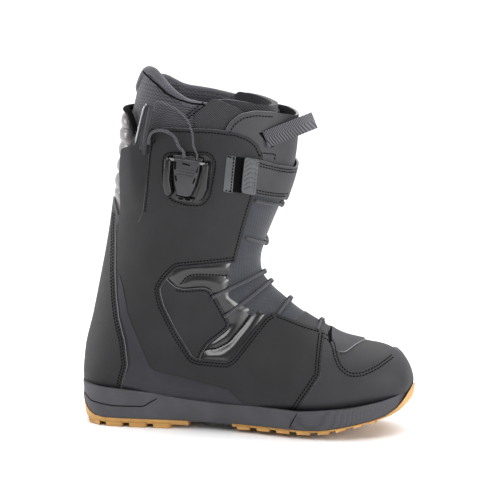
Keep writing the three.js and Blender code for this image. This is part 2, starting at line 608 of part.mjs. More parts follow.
// ---- tongue ----
const tongueSock = sock([BASE[0], PANEL[1]]);
const TONGUE_SIDE = [[146, 272.6], [164, 268.8], [172.5, 264.6], [178, 258], [179.5, 249], [174.5, 226],
  [170, 210], [163, 189], [157, 168], [155, 151]];
const TONGUE_CAP_LOWER = [[146, 272.6], [164, 268.8], [172.5, 264.6], [178, 258], [179, 253], [230, 243]];
const TONGUE_CAP = [...TONGUE_CAP_LOWER, [230, 280], [201, 282], [185, 286.5], [172, 288], [160, 285],
  [151, 279]];
const TONGUE = [...TONGUE_SIDE, [230, 151], [230, 285], [146, 285]];
add('tongue_upper', tongueSock.intersect(block(TONGUE)).subtract(block(grow(TONGUE_CAP, GAP))), 'textile');
add('tongue_cap', sock([BASE[0], OVERLAY[1]]).intersect(block(TONGUE_CAP)), 'leatherette');
const LINER_TONGUE = [[182, 290], [182, 262], [182.5, 249], [177.5, 226], [173, 210], [166, 189],
  [160, 168], [156, 151.5], [230, 151.5], [230, 284]];
add('liner_tongue', linerSock.intersect(block(LINER_TONGUE)), 'foam');

// ---- pull loop on the tongue: a webbing strip that stands off the front ----
const LOOP_ROOT = [174, 261];
const LOOP_TIP = [216, 277];
const LOOP_WIDTH = 14;
const LOOP_THICKNESS = 1.8;
function pullLoop() {
  const root = sidePoint(LOOP_ROOT[0], LOOP_ROOT[1], 3.75);
  const plane = [new THREE.Vector2(root.x, root.y), new THREE.Vector2(192 * STRETCH.x, root.y + 7),
    new THREE.Vector2(209 * STRETCH.x, -19), new THREE.Vector2((LOOP_TIP[0] + 1) * STRETCH.x, 0)];
  const half = new THREE.SplineCurve(plane).getPoints(9);
  const whole = [...half, ...reversed(half.slice(0, -1)).map((p) => new THREE.Vector2(p.x, -p.y))];
  const slope = (LOOP_TIP[1] - LOOP_ROOT[1]) / (LOOP_TIP[0] - LOOP_ROOT[0]);
  const up = new THREE.Vector3(-slope, 0, 1).normalize();
  const points = [];
  whole.forEach((p, k) => {
    const before = whole[Math.max(k - 1, 0)];
    const after = whole[Math.min(k + 1, whole.length - 1)];
    const across = new THREE.Vector3(after.y - before.y, before.x - after.x, 0).normalize();
    const centre = new THREE.Vector3(p.x, p.y, root.z + (p.x - root.x) * slope);
    for (const [a, b] of [[1, 1], [1, -1], [-1, -1], [-1, 1]]) {
      points.push(centre.clone().addScaledVector(across, (a * LOOP_THICKNESS) / 2)
        .addScaledVector(up, (b * LOOP_WIDTH) / 2));
    }
  });
  return strip(points, 4);
}

// A solid through equal rings of points, closed at both ends.
function strip(points, sides) {
  const rings = points.length / sides;
  const faces = [];
  const at = (i, k) => i * sides + (k % sides);
  for (let i = 0; i + 1 < rings; i += 1) {
    for (let k = 0; k < sides; k += 1) {
      faces.push(at(i, k), at(i, k + 1), at(i + 1, k + 1), at(i, k), at(i + 1, k + 1), at(i + 1, k));
    }
  }
  for (let k = 1; k + 1 < sides; k += 1) {
    faces.push(at(0, 0), at(0, k + 1), at(0, k), at(rings - 1, 0), at(rings - 1, k), at(rings - 1, k + 1));
  }
  return solidFrom(points, faces);
}
add('tongue_pull_loop', pullLoop(), 'webbing');

// ---- power strap ----
const STRAP_BAND = [[174, 244.2], [230, 228], [230, 194.5], [169.5, 214]];
const STRAP_TIP = [[162.5, 247.2], [173.4, 244.3], [168.9, 214.2], [158.5, 217.4]];
const STRAP_MEDIAL = [[148, 251.5], [230, 228], [230, 194.5], [144, 222.5]];
const strapSock = sock(STRAP);
const STRAP_MIDDLE = [[185, 241], [230, 228], [230, 194.5], [185, 209]];
const strapCut = block(STRAP_BAND, 'outer').add(block(STRAP_MEDIAL, 'inner'))
  .add(slab(STRAP_MIDDLE, -20, 20));
add('power_strap', strapSock.intersect(strapCut), 'webbing');
add('strap_tip', strapSock.intersect(block(STRAP_TIP, 'outer')), 'plastic');
const STRAP_LANDING = [[142, 250], [166, 246], [161, 215], [137, 218]];
const STRAP_ANCHOR = [[126, 258], [166, 246], [161, 216], [121, 226]];
add('strap_landing', overlaySock.intersect(block(STRAP_LANDING, 'outer')), 'textile');
add('strap_anchor', overlaySock.intersect(block(STRAP_ANCHOR, 'inner')), 'webbing');

// ---- lace lock on the outer side of the cuff ----
const LOCK = { x: 113, z: 228 };
const legLean = new THREE.Vector3(0.12, 0, 1).normalize();
function frameOnSide(x, z, offset, up) {
  const origin = sidePoint(x, z, offset);
  const step = 4;
  const along = sidePoint(x + step, z, offset).sub(sidePoint(x - step, z, offset)).normalize();
  const rise = sidePoint(x + up.x * step, z + up.z * step, offset)
    .sub(sidePoint(x - up.x * step, z - up.z * step, offset)).normalize();
  const inward = new THREE.Vector3().crossVectors(rise, along).normalize();
  const right = new THREE.Vector3().crossVectors(inward, rise).normalize();
  return new THREE.Matrix4().makeBasis(right, inward, rise).setPosition(origin);
}
const lockFrame = frameOnSide(LOCK.x, LOCK.z, 0, legLean);
const lockOutline = [[94, 248], [93.5, 219], [98, 211], [111, 207], [124, 206.5], [130, 213], [136, 240],
  [132, 249.5]];
const lockPlate = sock([0.4, 2.4]).intersect(block(lockOutline, 'outer'));
const RAIL = { width: 5, y: -6.6, deep: 8.4, height: 38 };
const railAt = (x) => boxAt(lockFrame, [x, RAIL.y, 1], [RAIL.width, RAIL.deep, RAIL.height]);
const PIN = { y: -7.6, z: 16.5, radius: 1.2, bore: 1.6 };
const LEVER = { inner: -5.6, thick: 4 };
const pinBore = rodAt(lockFrame, [0, PIN.y, PIN.z], PIN.bore, 60);
const lockFloor = boxAt(lockFrame, [0, -2.6, -4], [30, 3, 26]);
const jawWell = boxAt(lockFrame, [0, -3.6, -10], [14.8, 2.6, 7.8]);
const springWell = boxAt(lockFrame, [0, -3.6, 3], [8.8, 2.4, 9.8]);
add('lock_base', lockPlate.add(railAt(-16.5)).add(railAt(16.5)).add(lockFloor)
  .subtract(pinBore).subtract(jawWell).subtract(springWell), 'plastic');
add('lock_pin', rodAt(lockFrame, [0, PIN.y, PIN.z], PIN.radius, 37), 'metal');
add('lock_jaw', boxAt(lockFrame, [0, -3.95, -10], [14, 2.6, 7]), 'plastic');
add('lock_spring', boxAt(lockFrame, [0, -3.9, 3], [8, 1.4, 9]), 'metal');
function leverBody() {
  const profile = [[-12.6, 19.2], [12.6, 19.2], [12.2, 8], [9, -7], [5.5, -14], [-5.5, -14], [-9, -7],
    [-12.2, 8]];
  const shape = new THREE.Shape(profile.map(([x, z]) => new THREE.Vector2(x, z)));
  const geometry = new THREE.ExtrudeGeometry(shape, { depth: LEVER.thick, bevelEnabled: false });
  geometry.rotateX(Math.PI / 2);
  geometry.translate(0, LEVER.inner, 0);
  return toSolid(geometry, lockFrame);
}
add('lock_lever', leverBody().subtract(pinBore), 'plastic');

// ---- pull handle in its pocket, at the back of the outer side ----
const POCKET = [[57, 253.5], [78, 260.5], [77, 250], [72.5, 213], [70, 197], [66, 191], [50.5, 191],
  [52, 212]];
const handleFoot = sidePoint(62, 204, 5.2);
const handleHead = sidePoint(72.5, 258, 5.2);
const handleAxis = handleHead.clone().sub(handleFoot).normalize();
const handleOut = sidePoint(67, 230, 9).sub(sidePoint(67, 230, 4)).normalize();
const handleInward = handleOut.clone().addScaledVector(handleAxis, -handleOut.dot(handleAxis))
  .normalize().negate();
const handleRight = new THREE.Vector3().crossVectors(handleInward, handleAxis).normalize();
const handleFrame = new THREE.Matrix4().makeBasis(handleRight, handleInward, handleAxis)
  .setPosition(handleFoot);
const HANDLE = { width: 12, thick: 3.4, length: 92 };
const handleTab = boxAt(handleFrame, [0, 0, HANDLE.length / 2 - 4], [HANDLE.width, HANDLE.thick,
  HANDLE.length]);
const handleGrip = boxAt(handleFrame, [0, -1.5, 74], [9, 7, 26]);
add('handle', handleTab.add(handleGrip), 'webbing');
const handleWay = boxAt(handleFrame, [0, 0, 100], [HANDLE.width + 1.6, HANDLE.thick + 1.6, 209.6]);
add('pocket', sock([0.4, 9.5]).intersect(block(POCKET, 'outer')).subtract(handleWay), 'leatherette');

// ---- free strands from the lace lock to the handle ----
const lockExit = (x) => new THREE.Vector3(x, -6.5, 23).applyMatrix4(lockFrame);
const handleEnd = (x, z) => new THREE.Vector3(x, -1.5, z).applyMatrix4(handleFrame);
const UPPER_ROUTE = [[121, 258, 9], [119.5, 271, 9], [113, 284, 9], [101, 292, 9], [89, 295, 8]];
const LOWER_ROUTE = [[108, 256, 8], [105, 264, 8], [98, 269.5, 8], [88, 270, 7.5], [82, 266, 7]];
const strand = (start, route, end) => {
  const points = route.map(([x, z, offset]) => sidePoint(x, z, offset));
  return tube([start, ...points, end], LACE_RADIUS, 32);
};
const besideHandle = HANDLE.width / 2 + LACE_RADIUS + 0.6;
add('pull_lace_upper', strand(lockExit(8), UPPER_ROUTE, handleEnd(besideHandle, 82)), 'cord');
add('pull_lace_lower', strand(lockExit(-5), LOWER_ROUTE, handleEnd(besideHandle, 66)), 'cord');

// The origin is the middle of the boot's box, on the ground.
const box = new THREE.Box3().setFromObject(boot);
boot.position.set(-(box.min.x + box.max.x) / 2, -(box.min.y + box.max.y) / 2, -box.min.z);

export default boot;
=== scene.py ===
"""Snowboard boot, right foot: the fine surface, the soft goods and the finishes.

Sizes are in millimetres in the boot's own drawing frame: x runs from the heel to the toe, z from the
ground up, and the outer side of the foot is at negative y. place() turns them into the CAD frame.
"""
import json
import math

import bmesh
import bpy
from mathutils import Matrix, Vector


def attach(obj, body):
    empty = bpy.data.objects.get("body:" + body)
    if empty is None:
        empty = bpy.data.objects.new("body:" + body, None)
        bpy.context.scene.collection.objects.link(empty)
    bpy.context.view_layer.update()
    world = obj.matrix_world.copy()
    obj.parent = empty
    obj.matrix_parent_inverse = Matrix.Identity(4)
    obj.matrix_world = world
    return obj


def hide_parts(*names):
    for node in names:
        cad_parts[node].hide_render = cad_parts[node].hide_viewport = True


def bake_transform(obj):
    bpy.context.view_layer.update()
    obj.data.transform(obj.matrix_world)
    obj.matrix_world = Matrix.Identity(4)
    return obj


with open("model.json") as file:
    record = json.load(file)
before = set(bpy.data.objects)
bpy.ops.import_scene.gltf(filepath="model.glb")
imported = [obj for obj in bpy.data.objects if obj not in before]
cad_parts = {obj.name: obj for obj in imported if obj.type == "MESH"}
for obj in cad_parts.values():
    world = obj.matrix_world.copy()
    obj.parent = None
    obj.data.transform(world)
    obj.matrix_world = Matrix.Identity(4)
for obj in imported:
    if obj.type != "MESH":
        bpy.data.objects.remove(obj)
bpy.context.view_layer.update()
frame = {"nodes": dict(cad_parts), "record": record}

MM = 0.001
ANKLE_X, ANKLE_Z = 82, 112
flex = next(j for j in frame["record"]["behaviour"]["joints"] if j["name"] == "cuff_flex")
ORIGIN = Vector(flex["pos_m"]) - Vector((ANKLE_X, 0, ANKLE_Z)) * MM


def place(x, y, z):
    return Vector((x, y, z)) * MM + ORIGIN


# ---- the boot's shape -------------------------------------------------------------------------
# Each station is a cut through the boot: its front or top point, its back or bottom point (x, z),
# its half width on the outer and inner side, where along the cut it is widest, and how square its
# front and back halves are.
STATIONS = [
    ((200, 305), (54, 345), 54, 54, 0.50, 2.2, 2.2),
    ((200, 280), (45, 300), 54, 54, 0.50, 2.2, 2.2),
    ((199, 256), (38, 270), 54, 54, 0.50, 2.2, 2.2),
    ((195, 232), (37, 243), 53, 53, 0.50, 2.2, 2.2),
    ((187, 207), (34, 215), 51, 51, 0.50, 2.1, 2.1),
    ((178, 186), (30, 188), 49, 49, 0.50, 2.1, 2.0),
    ((171, 168), (25, 160), 47, 47, 0.48, 2.1, 1.9),
    ((167, 152), (19, 131), 45, 45, 0.45, 2.1, 1.9),
    ((169, 139), (12, 98), 43.5, 43.5, 0.45, 2.0, 1.9),
    ((177, 129), (4, 62), 42.5, 42, 0.50, 2.0, 2.1),
    ((188, 120), (8, 29), 42, 42, 0.60, 1.9, 2.6),
    ((202, 109), (48, 24), 42.5, 43, 0.68, 1.9, 3.0),
    ((221, 97.5), (110, 23), 45.5, 45, 0.72, 1.9, 3.2),
    ((241, 87), (175, 20), 49.5, 50, 0.74, 1.9, 3.2),
    ((261, 82), (225, 19), 50, 51, 0.72, 2.0, 3.2),
    ((279, 79), (258, 22), 44, 46, 0.66, 2.0, 3.0),
    ((292, 72.5), (279, 26), 36, 38, 0.60, 2.1, 2.8),
    ((300, 62), (293, 31), 27, 29, 0.55, 2.1, 2.4),
    ((304.5, 51), (301.5, 36), 16, 17, 0.50, 2.1, 2.2),
    ((306, 44), (306, 43), 0.05, 0.05, 0.50, 2.0, 2.0),
]
LAST = len(STATIONS) - 1


def spline(values, s):
    """The smooth curve through the stations' values, at station s."""
    i = min(int(s), LAST - 1)
    t = s - i
    a, b, c, d = (values[min(max(k, 0), LAST)] for k in (i - 1, i, i + 1, i + 2))
    return 0.5 * (2 * b + (c - a) * t + (2 * a - 5 * b + 4 * c - d) * t * t
                  + (3 * b - a - 3 * c + d) * t ** 3)


COLUMNS = [
    [st[0][0] for st in STATIONS], [st[0][1] for st in STATIONS],
    [st[1][0] for st in STATIONS], [st[1][1] for st in STATIONS],
] + [[st[k] for st in STATIONS] for k in (2, 3, 4, 5, 6)]


def section(s):
    """Front x and z, back x and z, half widths, widest place and squareness of the cut at s."""
    return [spline(column, s) for column in COLUMNS]


def bare_point(s, angle):
    """A point of the boot's skin. Angle 0 is the front or top, pi the back, positive the outer side."""
    s = min(max(s, 0), LAST)
    fx, fz, bx, bz, outer, inner, widest, front_square, back_square = section(s)
    angle = (angle + math.pi) % (2 * math.pi) - math.pi
    t = abs(angle)
    front = t < math.pi / 2
    power = 2 / (front_square if front else back_square)
    reach = abs(math.cos(t)) ** power
    q = widest * (1 - reach) if front else widest + (1 - widest) * reach
    half = abs(math.sin(t)) ** power * (outer if angle > 0 else inner)
    return Vector((fx + (bx - fx) * q, -half if angle > 0 else half, fz + (bz - fz) * q))


def skin_normal(s, angle):
    step_s, step_a = 0.05, 0.06
    low, high = max(s - step_s, 0), min(s + step_s, LAST - 0.02)
    if high - low < 0.02:
        return Vector((1, 0, 0))
    along = bare_point(high, angle) - bare_point(low, angle)
    around = bare_point(s, angle + step_a) - bare_point(s, angle - step_a)
    normal = around.cross(along)
    if normal.length < 1e-6:
        return Vector((1, 0, 0))
    return normal.normalized()


def on_boot(s, angle, offset=0.0):
    """A point the given distance outside the boot's skin, in millimetres."""
    return bare_point(s, angle) + skin_normal(s, angle) * offset


def locate(x, z):
    """Station and angle of the outer-side skin point seen at (x, z) from the side."""
    low, high = 0.0, float(LAST)
    for _ in range(32):
        mid = (low + high) / 2
        fx, fz, bx, bz = section(mid)[:4]
        if (bx - fx) * (z - fz) - (bz - fz) * (x - fx) > 0:
            low = mid
        else:
            high = mid
    s = (low + high) / 2
    fx, fz, bx, bz, _, _, widest, front_square, back_square = section(s)
    q = ((x - fx) * (bx - fx) + (z - fz) * (bz - fz)) / ((bx - fx) ** 2 + (bz - fz) ** 2)
    q = min(max(q, 0.0), 1.0)
    if q < widest:
        return s, math.acos(min(1.0, ((widest - q) / widest) ** (front_square / 2)))
    return s, math.pi - math.acos(min(1.0, ((q - widest) / (1 - widest)) ** (back_square / 2)))


def side_point(x, z, offset=0.0, inner=False):
    s, angle = locate(x, z)
    return on_boot(s, -angle if inner else angle, offset)


# ---- outlines in the side view ----------------------------------------------------------------
CUFF_TOP = [(57, 255), (66, 265.5), (78, 271), (95, 272.5), (135, 272), (156, 269.5), (167, 265),
            (174, 258.5)]
CUFF_FRONT = [(177.5, 248), (172.5, 226), (168, 210), (161, 189), (155, 168), (150.5, 152)]
SPINE_LINE = [(55, 253), (51, 232), (47.5, 210), (44.5, 189), (41, 176)]
WINDOW_REAR = [(149.5, 152), (125, 149.5), (101, 147), (91, 137), (84.5, 127), (88, 113), (101, 87),
               (113, 68), (117, 65.5), (145, 64), (150, 67), (176, 103), (182, 106.5)]
EYESTAY = [(188, 104), (200, 99.5), (211, 95.5), (226, 91)]
TOE_SEAM = [(229, 88), (230.5, 71), (231.5, 56), (222, 41), (209, 22)]
BACKSTAY_EDGE = [(45, 28), (54, 57), (51, 78), (44.5, 98), (41.5, 116), (40, 142), (40, 176), (41, 192)]
FLAP = [(88, 139), (82, 126), (86, 111), (112, 64), (119, 61), (122, 70), (128, 79), (143, 91), (146, 96),
        (134, 120), (129.5, 127.5), (124, 129.5), (106, 128), (99, 129.5)]
WELT = [(-4, 38), (20, 36), (48, 34.5), (76, 32.5), (122, 29.5), (168, 26), (213, 24.5), (258, 28.5),
        (284, 33.5), (300, 38), (312, 42)]
MUDGUARD_EDGE = [(229, 90), (235, 87.5), (241, 82), (245, 74), (250, 66), (257, 61), (266, 61), (278, 66.5),
                 (288, 73.5), (294, 80)]
RIM_BACK = [(40, 307), (50, 311)]
RIM_FRONT = [(178, 288), (196, 284), (206, 282)]
RIM_OUTER = [*RIM_BACK, (55, 318.5), (60, 324.5), (66, 327), (74, 325), (82, 318.5), (90, 311.5),
             (99, 304.5), (110, 298.5), (122, 296), (138, 294), (158, 291), *RIM_FRONT]
RIM_INNER = [*RIM_BACK, (55, 314), (60, 317), (65, 316), (72, 312), (80, 307.5), (88, 305), (98, 303.5),
             (110, 301.5), (122, 299), (138, 295.5), (158, 291), *RIM_FRONT]


def rounded(points, radius=2.5, closed=True, steps=4):
    """The outline with its corners rounded, as straight stretches and small curves."""
    result = []
    count = len(points)
    for k, corner in enumerate(points):
        here = Vector(corner)
        if not closed and k in (0, count - 1):
            result.append(here)
            continue
        before = Vector(points[k - 1])
        after = Vector(points[(k + 1) % count])
        cut_in = here.lerp(before, min(0.45, radius / max((before - here).length, 1e-6)))
        cut_out = here.lerp(after, min(0.45, radius / max((after - here).length, 1e-6)))
        for i in range(steps + 1):
            t = i / steps
            result.append(cut_in.lerp(here, t).lerp(here.lerp(cut_out, t), t))
    return result


def spaced(points, step, closed=False):
    """The same line with points no further than step apart."""
    result = []
    pairs = list(zip(points, points[1:]))
    if closed:
        pairs.append((points[-1], points[0]))
    for a, b in pairs:
        a, b = Vector(a), Vector(b)
        count = max(1, math.ceil((b - a).length / step))
        result.extend(a.lerp(b, i / count) for i in range(count))
    if not closed:
        result.append(Vector(points[-1]))
    return result


def beside(points, distance, closed=False):
    """The line moved sideways: positive is to the left of its direction in the side view."""
    line = [Vector(p) for p in points]
    result = []
    for k, here in enumerate(line):
        before = line[k - 1] if closed or k else here
        after = line[(k + 1) % len(line)] if closed or k + 1 < len(line) else here
        along = (after - before).normalized()
        result.append(here + Vector((-along.y, along.x)) * distance)
    return result


# ---- mesh helpers -----------------------------------------------------------------------------
ANGLE_UNIT = 30.0  # flat panels are drawn with angle and station stretched to about equal steps
STATION_UNIT = 10.0
GIRTH_RADIUS = 52  # used to lay texture maps round the leg, and from station to station
STATION_GAP = 25


def finish_mesh(name, bm, *materials):
    mesh = bpy.data.meshes.new(name)
    bm.to_mesh(mesh)
    bm.free()
    piece = bpy.data.objects.new(name, mesh)
    bpy.context.scene.collection.objects.link(piece)
    for material in materials:
        mesh.materials.append(material)
    mesh.polygons.foreach_set("use_smooth", [True] * len(mesh.polygons))
    return piece


def cut_grid(bm, station_step, angle_step):
    """Cuts a flat panel along even stations and angles, so that it can bend."""
    us = [v.co.x for v in bm.verts]
    vs = [v.co.y for v in bm.verts]
    for axis, low, high, step in ((0, min(us), max(us), station_step), (1, min(vs), max(vs), angle_step)):
        normal = (1, 0, 0) if axis == 0 else (0, 1, 0)
        for k in range(math.ceil(low / step), math.floor(high / step) + 1):
            point = [0, 0, 0]
            point[axis] = k * step
            bmesh.ops.bisect_plane(bm, geom=bm.verts[:] + bm.edges[:] + bm.faces[:], dist=1e-4,
                                   plane_co=point, plane_no=normal)


def add_cloth_map(bm, place_of):
    """A texture map in metres, from each corner's (across, along) place in millimetres."""
    layer = bm.loops.layers.uv.new("cloth")
    for face in bm.faces:
        for loop in face.loops:
            across, along = place_of(loop.vert.co)
            loop[layer].uv = (across * MM, along * MM)


def lay_on_boot(bm, lift):
    """Moves flat panel points (station, angle) onto the boot. lift gives the offset at a point."""
    add_cloth_map(bm, lambda co: (co.y / ANGLE_UNIT * GIRTH_RADIUS, -co.x / STATION_UNIT * STATION_GAP))
    for v in bm.verts:
        s, angle = v.co.x / STATION_UNIT, v.co.y / ANGLE_UNIT
        v.co = on_boot(s, angle, lift(s, angle)) * MM + ORIGIN


def flat_panel(outline):
    """A flat face in station and angle units with the given outline of (station, angle)."""
    bm = bmesh.new()
    corners = [bm.verts.new((s * STATION_UNIT, angle * ANGLE_UNIT, 0)) for s, angle in outline]
    bm.faces.new(corners)
    return bm


def panel(name, outline, offset, thickness, materials, lift=None, station_step=2.2, angle_step=2.2,
          edge=0.35):
    """A panel of sheet material laid on the boot, with a rounded edge."""
    bm = flat_panel(outline)
    cut_grid(bm, station_step, angle_step)
    bmesh.ops.remove_doubles(bm, verts=bm.verts, dist=0.01)
    lay_on_boot(bm, lift or (lambda s, angle: offset))
    bmesh.ops.remove_doubles(bm, verts=bm.verts, dist=0.02 * MM)
    outward = [f for f in bm.faces if f.calc_area() > 0]
    centre = outward[len(outward) // 2]
    probe = centre.calc_center_median()
    s, angle = locate((probe - ORIGIN).x / MM, (probe - ORIGIN).z / MM)
    side = skin_normal(s, angle if (probe - ORIGIN).y < 0 else -angle)
    if centre.normal.dot(side) < 0:
        bmesh.ops.reverse_faces(bm, faces=bm.faces)
    piece = finish_mesh(name, bm, *materials)
    wall = piece.modifiers.new("wall", "SOLIDIFY")
    wall.thickness = thickness * MM
    wall.offset = -1
    wall.use_rim = True
    wall.material_offset_rim = len(materials) - 1
    if edge:
        bevel = piece.modifiers.new("edge", "BEVEL")
        bevel.width = edge * MM
        bevel.segments = 2
        bevel.limit_method = "ANGLE"
        bevel.angle_limit = math.radians(50)
        bevel.material = len(materials) - 1
    shade = piece.modifiers.new("shade", "WEIGHTED_NORMAL")
    shade.keep_sharp = True
    return piece


def outer_outline(points, radius=2.5, step=3.0):
    return [locate(p.x, p.y) for p in spaced(rounded(points, radius), step, closed=True)]


def mirrored(outline):
    return [(s, -angle) for s, angle in outline]


def on_both_sides(outline, labels=("lateral", "medial")):
    """The outline for the outer side and its mirror for the inner side, each with its label."""
    return list(zip(labels, (outline, mirrored(outline))))


def along_side(line, step=3.0):
    """Stations and angles of points along a side-view line."""
    return [locate(*p[:2]) for p in spaced(line, step)]


def front_station(x, z):
    """The place on the middle of the front that is level with the side-view point."""
    return locate(x, z)[0], 0.0


def wrapped(half):
    """An outline that wraps over the front, from its outer half and the mirror of that."""
    return half + [(s, -angle) for s, angle in reversed(half) if angle > 1e-3]


def round_back(line, step=3.0):
    """An outline that wraps round the back, from one side's line and its mirror."""
    half = [locate(p.x, p.y) for p in spaced(line, step)]
    return half + [(s, 2 * math.pi - angle) for s, angle in reversed(half) if angle < math.pi - 1e-3]


def enlist(piece, nodes):
    """Hides the CAD nodes that the piece stands for."""
    if nodes:
        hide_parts(*nodes)
    return piece


def bends_at_ankle(piece, *nodes, slot=None):
    """For a piece that lies across the crease between the foot and the cuff, where the whole upper creases:
    bakes its placement into its mesh and hides the CAD nodes it stands for.
    """
    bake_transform(piece)
    return enlist(piece, nodes)


def bends_with_tongue(piece, *nodes, slot=None):
    """For a piece between the cuff and the tongue, just above the crease of the instep: bakes its placement
    into its mesh and hides the CAD nodes it stands for.
    """
    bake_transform(piece)
    return enlist(piece, nodes)


def rides(piece, body, *nodes, slot=None):
    """The piece moves with one body."""
    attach(piece, body)
    return enlist(piece, nodes)


# ---- materials --------------------------------------------------------------------------------
def linear(hex_colour):
    """An sRGB hex colour as linear light."""
    parts = [int(hex_colour[k:k + 2], 16) / 255 for k in (1, 3, 5)]
    return [p / 12.92 if p <= 0.04045 else ((p + 0.055) / 1.055) ** 2.4 for p in parts] + [1.0]


def add_node(tree, kind, settings=None, inputs=None):
    """A node with its settings, its input values, and links from other nodes' sockets."""
    node = tree.nodes.new(kind)
    for key, value in (settings or {}).items():
        setattr(node, key, value)
    for key, value in (inputs or {}).items():
        if isinstance(value, bpy.types.NodeSocket):
            tree.links.new(value, node.inputs[key])
        else:
            node.inputs[key].default_value = value
    return node


def new_material(name, roughness, metallic=0.0, **shader):
    material = bpy.data.materials.new(name)
    material.use_nodes = True
    tree = material.node_tree
    tree.nodes.clear()
    values = {"Roughness": roughness, "Metallic": metallic}
    surface = add_node(tree, "ShaderNodeBsdfPrincipled", inputs=values)
    for key, value in shader.items():
        surface.inputs[key.replace("_", " ")].default_value = value
    add_node(tree, "ShaderNodeOutputMaterial", inputs={"Surface": surface.outputs["BSDF"]})
    return material, tree, surface


def object_coordinates(tree):
    return add_node(tree, "ShaderNodeTexCoord").outputs["Object"]


def turned_coordinates(tree, turn):
    """Object coordinates turned about the axis across the boot."""
    inputs = {"Vector": object_coordinates(tree), "Rotation": (0, turn, 0)}
    return add_node(tree, "ShaderNodeMapping", inputs=inputs).outputs["Vector"]


def worked_out(tree, operation, *values):
    """The result of a mathematical operation on numbers or sockets."""
    return add_node(tree, "ShaderNodeMath", {"operation": operation}, dict(enumerate(values))).outputs[0]


def waves(tree, direction, where, scale, distortion, **more):
    inputs = {"Vector": where, "Scale": scale, "Distortion": distortion, **more}
    return add_node(tree, "ShaderNodeTexWave", {"bands_direction": direction}, inputs).outputs["Fac"]


def link_surface(tree, surface, colour, normal):
    tree.links.new(colour, surface.inputs["Base Color"])
    tree.links.new(normal, surface.inputs["Normal"])


def colour_between(tree, factor, dark, light, low=0.3, high=0.7):
    ramp = add_node(tree, "ShaderNodeValToRGB", inputs={"Fac": factor})
    ramp.color_ramp.elements[0].color = linear(dark)
    ramp.color_ramp.elements[0].position = low
    ramp.color_ramp.elements[1].color = linear(light)
    ramp.color_ramp.elements[1].position = high
    return ramp.outputs["Color"]


def bump(tree, height, distance, strength=1.0, under=None):
    inputs = {"Height": height, "Distance": distance * MM, "Strength": strength}
    if under is not None:
        inputs["Normal"] = under
    return add_node(tree, "ShaderNodeBump", inputs=inputs).outputs["Normal"]


def noise(tree, size, detail=3.0, vector=None):
    """Noise with features of the given size in millimetres."""
    where = vector if vector is not None else object_coordinates(tree)
    return add_node(tree, "ShaderNodeTexNoise", inputs={"Vector": where, "Scale": 1 / (size * MM),
                                                       "Detail": detail}).outputs["Fac"]


def coated_leather(name, dark, light, roughness=0.6):
    """Polyurethane-coated synthetic leather: matte, with a fine pebbled grain and soft scuffs."""
    material, tree, surface = new_material(name, roughness, Specular_IOR_Level=0.3)
    where = object_coordinates(tree)
    cloudy = noise(tree, 34, 4, where)
    tree.links.new(colour_between(tree, cloudy, dark, light), surface.inputs["Base Color"])
    grain = add_node(tree, "ShaderNodeTexVoronoi", {"feature": "F1"},
                     {"Vector": where, "Scale": 1 / (0.8 * MM)}).outputs["Distance"]
    soft = bump(tree, noise(tree, 9, 2, where), 0.25, 0.35)
    tree.links.new(bump(tree, grain, 0.05, 0.5, soft), surface.inputs["Normal"])
    spread = {"Value": noise(tree, 3, 3, where), "To Min": roughness - 0.07, "To Max": roughness + 0.07}
    rough = add_node(tree, "ShaderNodeMapRange", inputs=spread)
    tree.links.new(rough.outputs["Result"], surface.inputs["Roughness"])
    return material


def plain_finish(name, colour, roughness, metallic=0.0, grain=None, depth=0.04, **shader):
    """A moulded or cut surface with a fine grain of the given size in millimetres."""
    material, tree, surface = new_material(name, roughness, metallic, **shader)
    where = object_coordinates(tree)
    darker = "#" + "".join(f"{int(int(colour[k:k + 2], 16) * 0.86):02x}" for k in (1, 3, 5))
    tree.links.new(colour_between(tree, noise(tree, 18, 3, where), darker, colour),
                   surface.inputs["Base Color"])
    if grain:
        tree.links.new(bump(tree, noise(tree, grain, 2, where), depth, 0.6), surface.inputs["Normal"])
    return material


def woven(name, dark, light, spacing, roughness=0.88, turn=0.0, depth=0.12):
    """Cloth of crossing threads. spacing is from thread to thread in millimetres."""
    material, tree, surface = new_material(name, roughness, Sheen_Weight=0.25, Sheen_Roughness=0.5)
    where = turned_coordinates(tree, turn)
    scale = 1 / (spacing * MM) * math.pi / 20 * 2
    heights = [waves(tree, axis, where, scale, 0.6, **{"Detail Scale": 2.0}) for axis in ("X", "Z")]
    weave = worked_out(tree, "MULTIPLY", *heights)
    mottled = worked_out(tree, "MULTIPLY", noise(tree, 1.2, 3, where), noise(tree, 12, 2, where))
    mixed = worked_out(tree, "ADD", weave, mottled)
    link_surface(tree, surface, colour_between(tree, mixed, dark, light, 0.25, 0.95),
                 bump(tree, weave, depth, 0.8))
    return material


def ribbed(name, dark, light, pitch, direction, turn, depth=0.35, roughness=0.9):
    """Knit or webbing with raised ribs. pitch is their spacing in millimetres."""
    material, tree, surface = new_material(name, roughness, Sheen_Weight=0.2)
    where = turned_coordinates(tree, turn)
    ribs = waves(tree, direction, where, math.pi / 10 / (pitch * MM), 0.4, **{"Detail Scale": 3.0})
    link_surface(tree, surface, colour_between(tree, ribs, dark, light, 0.15, 0.85),
                 bump(tree, ribs, depth, 0.9))
    return material


